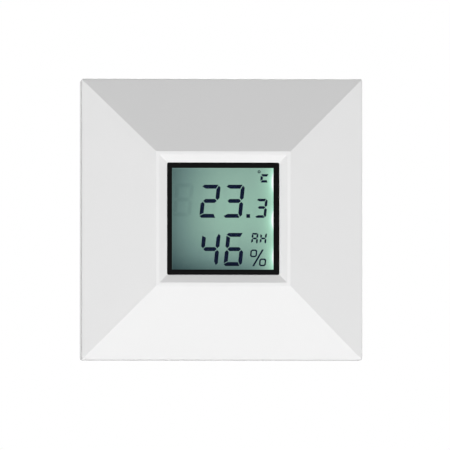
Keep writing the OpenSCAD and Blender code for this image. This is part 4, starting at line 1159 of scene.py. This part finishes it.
# Terminal board in millimetres, right half: tracks from the plug to the terminals (width and corner points),
# vias and a wide piece of copper
TERMINAL_TRACKS = (
    (1.4, ((3, 16.6), (3, 18.3), (7.5, 21.4), (7.5, 24.0))),
    (1.2, ((1, 16.6), (1, 19.6), (2.5, 21.2), (2.5, 24.0))),
)
TERMINAL_BEND = 0.4 * MM
TERMINAL_VIAS = ((13, 14.0), (13, 18.0), (13, 22.0))
TERMINAL_VIA_BORE = 0.3 * MM
TERMINAL_VIA_RADIUS = 0.7 * MM
TERMINAL_POUR = ((10.2, 13.4), (20.4, 13.4), (20.4, 21.6), (12.2, 21.6), (10.2, 19.6))
BLOCK_MARGIN = 0.5 * MM
BASE_MARGIN = 0.4 * MM

# Printed arrow heads over the terminals, in millimetres
POLES = 4
POLE_PITCH = 5
ARROW_HALF = 0.5
ARROW_TOP = 31.9
ARROW_TIP = 31.3


def on_side(side, places):
    """Places of the right half, in metres, on the left (-1) or the right (1)."""
    return mm(*[(side * x, z) for x, z in places])


def terminal_copper(tracks, pads, ink):
    """Wide tracks from the plug to the terminals, screw rings and outlines on the terminal board."""
    for side in (-1, 1):
        for width, places in TERMINAL_TRACKS:
            tracks.track(on_side(side, places), width * MM, cut=TERMINAL_BEND)
        for x, z in on_side(side, TERMINAL_VIAS):
            pads.ring(x, z, TERMINAL_VIA_BORE, TERMINAL_VIA_RADIUS, TINNED)
        tracks.plate(on_side(side, TERMINAL_POUR), COPPER)
    for x, z in screw_places("terminal_board_screws"):
        pads.ring(x, z, SCREW_BORE, TERMINAL_SCREW_PAD, TINNED)
    ink.print_box(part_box("terminal_block"), BLOCK_MARGIN, BLOCK_MARGIN)
    ink.print_box(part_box("plug_base"), BASE_MARGIN, BASE_MARGIN)
    for x in spread(POLES, POLE_PITCH):
        ink.plate(mm((x - ARROW_HALF, ARROW_TOP), (x, ARROW_TIP), (x + ARROW_HALF, ARROW_TOP)), PRINT)


def board_details():
    """Builds the thin pieces on the rear of the main board and on the front of the terminal board."""
    copper = moulded_plastic(
        "board_track", rgb(22, 108, 64), rgb(30, 120, 74), rough=0.34, grain=0.3 * MM, depth=1 * UM
    )
    tin = metal("pad_tin", grey(0.52), grey(0.68), rough=0.30)
    joint = metal("solder", grey(0.48), grey(0.70), rough=0.22)
    white = moulded_plastic("board_print", grey(0.66), grey(0.80), rough=0.6, grain=0.1 * MM, depth=1 * UM)
    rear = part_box("main_board")[1].y
    tracks, pads, solder, ink = [Relief(rear, 1) for _ in range(4)]
    run_tracks(tracks)
    solder_parts(pads, solder)
    place_pads(pads)
    print_outlines(ink)
    tracks.piece("main_board_tracks", copper, "board_green", "cover")
    pads.piece("main_board_pads", tin, "tin", "cover")
    solder.piece("main_board_solder", joint, "tin", "cover")
    ink.piece("main_board_print", white, "plate_white", "cover")
    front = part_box("terminal_board")[0].y
    tracks, pads, ink = [Relief(front, -1) for _ in range(3)]
    terminal_copper(tracks, pads, ink)
    tracks.piece("terminal_board_tracks", copper, "board_green", "base")
    pads.piece("terminal_board_pads", tin, "tin", "base")
    ink.piece("terminal_board_print", white, "plate_white", "base")


make_camera()
make_lights()
make_world()
make_floor()
paint_casing()
paint_display()
paint_main_board()
paint_shared()
faint_marks()
spring_dome()
board_details()
